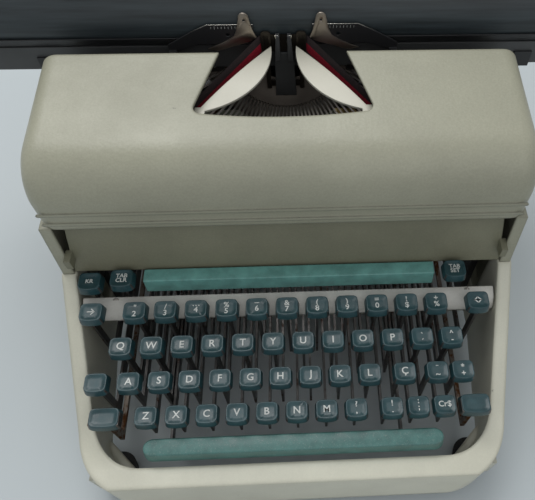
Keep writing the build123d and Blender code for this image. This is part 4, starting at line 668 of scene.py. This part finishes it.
def soften(piece, width, segments=2):
    """Rounds the sharp edges of a piece."""
    deselect_all()
    bpy.context.view_layer.objects.active = piece
    piece.select_set(True)
    bpy.ops.object.modifier_add(type="BEVEL")
    bevel = piece.modifiers[-1]
    bevel.width = width
    bevel.segments = segments
    bevel.limit_method = "ANGLE"
    bevel.angle_limit = radians(40)
    bpy.ops.object.modifier_apply(modifier=bevel.name)
    return piece


print("tools for small plates ready")

# %% Stamp the two card fingers
NOSE_X, NOSE_TOP = 23.3, 219.8
NOSE_RADIUS = 3.1
HOLE_BELOW_TOP = 5.2
HOLE_RADIUS = 0.75 * MM
FINGER_BACK = 54.45 * MM
FINGER_THICK = 0.8 * MM
FINGER_EDGE = 0.18 * MM
# from the nose down its inner side, along the foot to the tip of the wing and back up
NOSE_ARC = [(NOSE_X + NOSE_RADIUS * cos(radians(angle)),
             NOSE_TOP - NOSE_RADIUS * (1 - sin(radians(angle)))) for angle in range(0, 181, 20)]
INNER_SIDE = [(18.6, 208.2), (16.4, 202.4)]
FOOT = [(19.0, 200.2), (21.8, 199.0), (27.6, 197.0), (32.0, 195.8), (36.5, 194.0), (41.4, 192.6)]
WING_TIP = [(47.6, 194.2)]
OUTER_SIDE = [(41.6, 196.8), (37.0, 199.0), (34.0, 200.8), (30.2, 203.6), (28.4, 207.6)]
FINGER_OUTLINE = NOSE_ARC + INNER_SIDE + FOOT + WING_TIP + OUTER_SIDE
finger_metal = metal("card_finger_metal", (0.40, 0.35, 0.30), 0.34, 0.35, (0.20, 0.13, 0.09))
for side, node in ((-1, "card_finger_left"), (1, "card_finger_right")):
    outline = [(side * x * MM, z * MM) for x, z in FINGER_OUTLINE]
    finger = stamped_plate(f"{node}_plate", outline, FINGER_BACK, FINGER_THICK)
    drill(finger, (side * NOSE_X * MM, FINGER_BACK, (NOSE_TOP - HOLE_BELOW_TOP) * MM),
          HOLE_RADIUS, 5 * FINGER_THICK)
    soften(finger, FINGER_EDGE)
    finish_piece(finger, finger_metal, 40.0)
    set_on(finger, node)
    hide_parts(node)
print("fingers:", len(finger.data.polygons), "faces each")

# %% Mark the scale plates
SCALE_FACE = 54.6 * MM
SCALE_TOP = 211.0 * MM
TICK_COUNT, TICK_START, TICK_STEP = 12, 20.5 * MM, 2.1 * MM
TICK_SIZE = (0.28 * MM, 0.12 * MM, 1.5 * MM)
TICK_DEPTH = 0.05 * MM
TICK_BELOW_TOP = 1.9 * MM
LONG_TICK = 1.4
EDGE_LENGTH, EDGE_X = 28.0 * MM, 32.0 * MM
SLOPE_LENGTH, SLOPE_X, SLOPE_DROP = 11.6 * MM, 51.2 * MM, 2.4 * MM
SLOPE_ANGLE = radians(25.5)
STRIP_DEPTH, STRIP_HEIGHT = 0.5 * MM, 0.35 * MM
STRIP_Y = SCALE_FACE + 0.3 * MM


def small_bar(name, size, place, edge, segments, material):
    """A little bar with its edges broken."""
    bar = start_box(name, size, place)
    bpy.ops.mesh.bevel(offset=edge, segments=segments, affect="EDGES")
    return finish_piece(bar, material)


tick = small_bar("tick", TICK_SIZE, (0, 0, 0), 0.04 * MM, 1, legend_white)
edge_strip = small_bar("edge_strip", (EDGE_LENGTH, STRIP_DEPTH, STRIP_HEIGHT), (EDGE_X, 0, 0),
                       0.1 * MM, 2, nickel)
slope_strip = small_bar("slope_strip", (SLOPE_LENGTH, STRIP_DEPTH, STRIP_HEIGHT), (0, 0, 0),
                        0.1 * MM, 2, nickel)
ticks, strips = [], []
for side in (-1, 1):
    for number in range(TICK_COUNT):
        place = (side * (TICK_START + TICK_STEP * number), SCALE_FACE - TICK_DEPTH,
                 SCALE_TOP - TICK_BELOW_TOP)
        stretch = LONG_TICK if number % 5 == 0 else 1.0
        ticks.append(copy_to(tick, "tick_copy", place, (1.0, 1.0, stretch)))
    shift = -2 * EDGE_X if side < 0 else 0
    strips.append(copy_to(edge_strip, "strip_copy", (shift, STRIP_Y, SCALE_TOP)))
    twin = copy_to(slope_strip, "slope_copy", (0, 0, 0))
    twin.data.transform(Matrix.Translation((side * SLOPE_X, STRIP_Y, SCALE_TOP - SLOPE_DROP))
                        @ Matrix.Rotation(side * SLOPE_ANGLE, 4, "Y"))
    strips.append(twin)
set_on(join_all(ticks, "scale_ticks"), "card_holders")
set_on(join_all(strips, "scale_edges"), "card_holders")
for piece in (tick, edge_strip, slope_strip):
    remove(piece)
print("scale marks:", len(ticks))

# %% [markdown]
# ## Ribbon
# The cloth runs from the loops at the printing point down to the spools. Its upper half is black
# and its lower half red, so each run is a long grid whose columns are let down one after the
# other, with the red given to the lower rows.

# %% Make a ribbon run
RIBBON_WIDTH = 12.7 * MM
RED_SHARE = 0.6
ROWS_ACROSS = 4
RUN_COLUMNS = 24
red_cloth = rubber("ribbon_red", (0.30, 0.006, 0.022), 0.8, 900.0, (1.0, 1.0, 1.0))


def ribbon_run(name, start, end, drop, level):
    """A run of ribbon from start to end, its top edge falling by drop up to the share level."""
    span = Vector(end) - Vector(start)
    deselect_all()
    bpy.ops.mesh.primitive_grid_add(x_subdivisions=RUN_COLUMNS, y_subdivisions=ROWS_ACROSS,
                                    size=1.0)
    run = bpy.context.active_object
    run.name = name
    run.data.materials.append(ribbon_cloth)
    run.data.materials.append(red_cloth)
    bpy.ops.object.mode_set(mode="EDIT")
    bpy.ops.mesh.select_all(action="SELECT")
    bpy.ops.transform.resize(value=(span.length, RIBBON_WIDTH, 1))
    bpy.ops.transform.rotate(value=-pi / 2, orient_axis="X", center_override=(0, 0, 0))
    bpy.ops.transform.translate(value=(span.length / 2, 0, -RIBBON_WIDTH / 2))
    step = span.length / RUN_COLUMNS
    for column in range(RUN_COLUMNS + 1):
        share = min(1.0, column / RUN_COLUMNS / level)
        pick(run, lambda vert: abs(vert.co.x - column * step) < step / 4, "VERT")
        bpy.ops.transform.translate(value=(0, 0, -drop * share))

    def is_red(face):
        top = -drop * min(1.0, middle(face).x / span.length / level)
        return min(vert.co.z for vert in face.verts) < top - RIBBON_WIDTH * RED_SHARE

    pick(run, is_red)
    run.active_material_index = 1
    bpy.ops.object.material_slot_assign()
    bpy.ops.object.mode_set(mode="OBJECT")
    run.data.transform(Matrix.Translation(start)
                       @ Matrix.Rotation(-Vector((1, 0)).angle_signed(span.to_2d()), 4, "Z"))
    deselect_all()
    run.select_set(True)
    bpy.context.view_layer.objects.active = run
    bpy.ops.object.shade_smooth()
    return run


print("ribbon tools ready")

# %% Lay the two runs
RIBBON_TOP = 202.5
RUN_START = Vector((14.3, 56.2, RIBBON_TOP)) * MM
RUN_END = Vector((86.3, -26.0, RIBBON_TOP)) * MM
RUN_DROP = 16.65 * MM
RUN_LEVEL = 0.817
runs = []
for side in (-1, 1):
    mirror = Matrix.Diagonal((side, 1, 1)).to_3x3()
    runs.append(ribbon_run(f"ribbon_run_{side}", mirror @ RUN_START, mirror @ RUN_END, RUN_DROP,
                           RUN_LEVEL))
runs = join_all(runs, "ribbon_two_runs")
set_on(runs, "ribbon_runs")
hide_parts("ribbon_runs")
print("ribbon:", len(runs.data.polygons), "faces")

# %% [markdown]
# ## Horns of the type guide
# Every type slug has to land on one spot, so the guide ends in two bright horns with a slot
# between them. One horn is a small bar whose top is pushed outwards; the other is its mirror
# image, and a mirrored mesh needs its faces turned round again.

# %% Shape the two horns
HORN_SIZE = (2.6 * MM, 0.7 * MM, 5.4 * MM)
HORN_PLACE = (3.1 * MM, 53.6 * MM, 201.4 * MM)
HORN_SPREAD = 1.0 * MM
horn = start_box("guide_horn", HORN_SIZE, HORN_PLACE)
pick(horn, lambda face: face.normal.z > 0.9)
bpy.ops.transform.translate(value=(HORN_SPREAD, 0, 0))
bpy.ops.mesh.select_all(action="SELECT")
bpy.ops.mesh.bevel(offset=0.25 * MM, segments=2, affect="EDGES")
finish_piece(horn, nickel)
other_horn = copy_to(horn, "other_horn", (0, 0, 0), (-1, 1, 1))
other_horn.data.flip_normals()
horns = set_on(join_all([horn, other_horn], "type_guide_horns"), "type_guide")
print("horns:", len(horns.data.polygons), "faces")

# %% [markdown]
# ## Screws
# A cheese-head screw is a short cylinder with a rounded rim and a sawn slot. One is modelled and
# copied to the places where such a screw holds a part, each turned a little differently.


# %% Model one screw and set the copies
def slotted_screw(name, radius, height):
    """A screw head standing on the origin."""
    deselect_all()
    bpy.ops.mesh.primitive_cylinder_add(vertices=32, radius=radius, depth=height,
                                        location=(0, 0, height / 2))
    head = bpy.context.active_object
    head.name = name
    bpy.ops.object.mode_set(mode="EDIT")
    pick(head, lambda face: face.normal.z > 0.9)
    bpy.ops.mesh.bevel(offset=height * 0.3, segments=3, affect="EDGES")
    bpy.ops.object.mode_set(mode="OBJECT")
    slot = start_box("slot", (radius * 2.4, radius * 0.26, height), (0, 0, height * 1.05))
    bpy.ops.object.mode_set(mode="OBJECT")
    cut(head, slot)
    return finish_piece(head, steel, 40.0)


SCREW_RADIUS, SCREW_HEIGHT = 2.6 * MM, 1.3 * MM
BAR_LEAN = radians(45.5)
SCREW_Y, SCREW_Z = -71.5 * MM, 95.6 * MM
screw = slotted_screw("screw", SCREW_RADIUS, SCREW_HEIGHT)
screws = []
for x, turn in ((-113.6 * MM, 0.5), (116.8 * MM, 1.3)):
    twin = copy_to(screw, "screw_copy", (0, 0, 0))
    twin.data.transform(Matrix.Translation((x, SCREW_Y, SCREW_Z))
                        @ Matrix.Rotation(BAR_LEAN, 4, "X") @ Matrix.Rotation(turn, 4, "Z"))
    screws.append(twin)
set_on(join_all(screws, "cross_bar_screws"), "key_cross_bar")
remove(screw)
print("screws:", len(screws))

# %% [markdown]
# ## Floor, light and camera
# A pale floor and soft light from above and in front keep the colours plain. The camera looks
# steeply down on the keyboard from the typist's side, a little to the right of the middle.

# %% Floor and lights
FLOOR_SIZE = 6.0
FLOOR_COLOUR = (0.47, 0.51, 0.52)
SKY_COLOUR = (0.92, 0.96, 1.0)
SKY_STRENGTH = 0.55
bpy.ops.object.select_all(action="DESELECT")
bpy.ops.mesh.primitive_plane_add(size=FLOOR_SIZE, location=(0, 0, 0))
floor = bpy.context.active_object
floor.name = "floor"
floor_material, nodes, links, shader, place = start_material("pale_floor")
shader.inputs["Base Color"].default_value = (*FLOOR_COLOUR, 1.0)
shader.inputs["Roughness"].default_value = 0.6
floor.data.materials.append(floor_material)

world = bpy.data.worlds.new("studio")
bpy.context.scene.world = world
world.use_nodes = True
sky = world.node_tree.nodes["Background"]
sky.inputs["Color"].default_value = (*SKY_COLOUR, 1.0)
sky.inputs["Strength"].default_value = SKY_STRENGTH


def area_lamp(name, place, target, size, power):
    """A square soft box that shines from one place to another."""
    data = bpy.data.lights.new(name, "AREA")
    data.size = size
    data.energy = power
    lamp = bpy.data.objects.new(name, data)
    bpy.context.scene.collection.objects.link(lamp)
    lamp.location = place
    lamp.rotation_euler = (Vector(target) - Vector(place)).to_track_quat("-Z", "Y").to_euler()
    return lamp


area_lamp("window_light", (-0.3, 0.75, 1.5), (0, 0, 0.1), 1.1, 17.0)
area_lamp("front_fill", (0.4, -1.2, 1.5), (0, 0, 0.1), 1.4, 4.5)
print("floor and lights placed")

# %% Camera
IMAGE_WIDTH = 535.0
SENSOR = 36.0
CAMERA_PLACE = Vector((0.0100, -0.2532, 0.4433))
CAMERA_PITCH = radians(57.9)
CAMERA_YAW = radians(4.7)
CAMERA_ROLL = radians(2.4)
FOCAL_PIXELS = 591.2
CENTRE_PIXEL_X = 331.0

forward = Vector((sin(CAMERA_YAW) * cos(CAMERA_PITCH), cos(CAMERA_YAW) * cos(CAMERA_PITCH),
                  -sin(CAMERA_PITCH)))
level_right = Vector((cos(CAMERA_YAW), -sin(CAMERA_YAW), 0))
level_up = level_right.cross(forward)
right = cos(CAMERA_ROLL) * level_right + sin(CAMERA_ROLL) * level_up
up = cos(CAMERA_ROLL) * level_up - sin(CAMERA_ROLL) * level_right
camera_data = bpy.data.cameras.new("camera")
camera_data.sensor_width = SENSOR
camera_data.lens = FOCAL_PIXELS / IMAGE_WIDTH * SENSOR
camera_data.shift_x = (IMAGE_WIDTH / 2 - CENTRE_PIXEL_X) / IMAGE_WIDTH
camera_data.clip_start = 0.01
camera = bpy.data.objects.new("camera", camera_data)
bpy.context.scene.collection.objects.link(camera)
camera.matrix_world = Matrix((
    (right.x, up.x, -forward.x, CAMERA_PLACE.x),
    (right.y, up.y, -forward.y, CAMERA_PLACE.y),
    (right.z, up.z, -forward.z, CAMERA_PLACE.z),
    (0, 0, 0, 1)))
bpy.context.scene.camera = camera
bpy.context.scene.view_settings.view_transform = "Standard"
print("camera at", tuple(CAMERA_PLACE), "lens", round(camera_data.lens, 2))
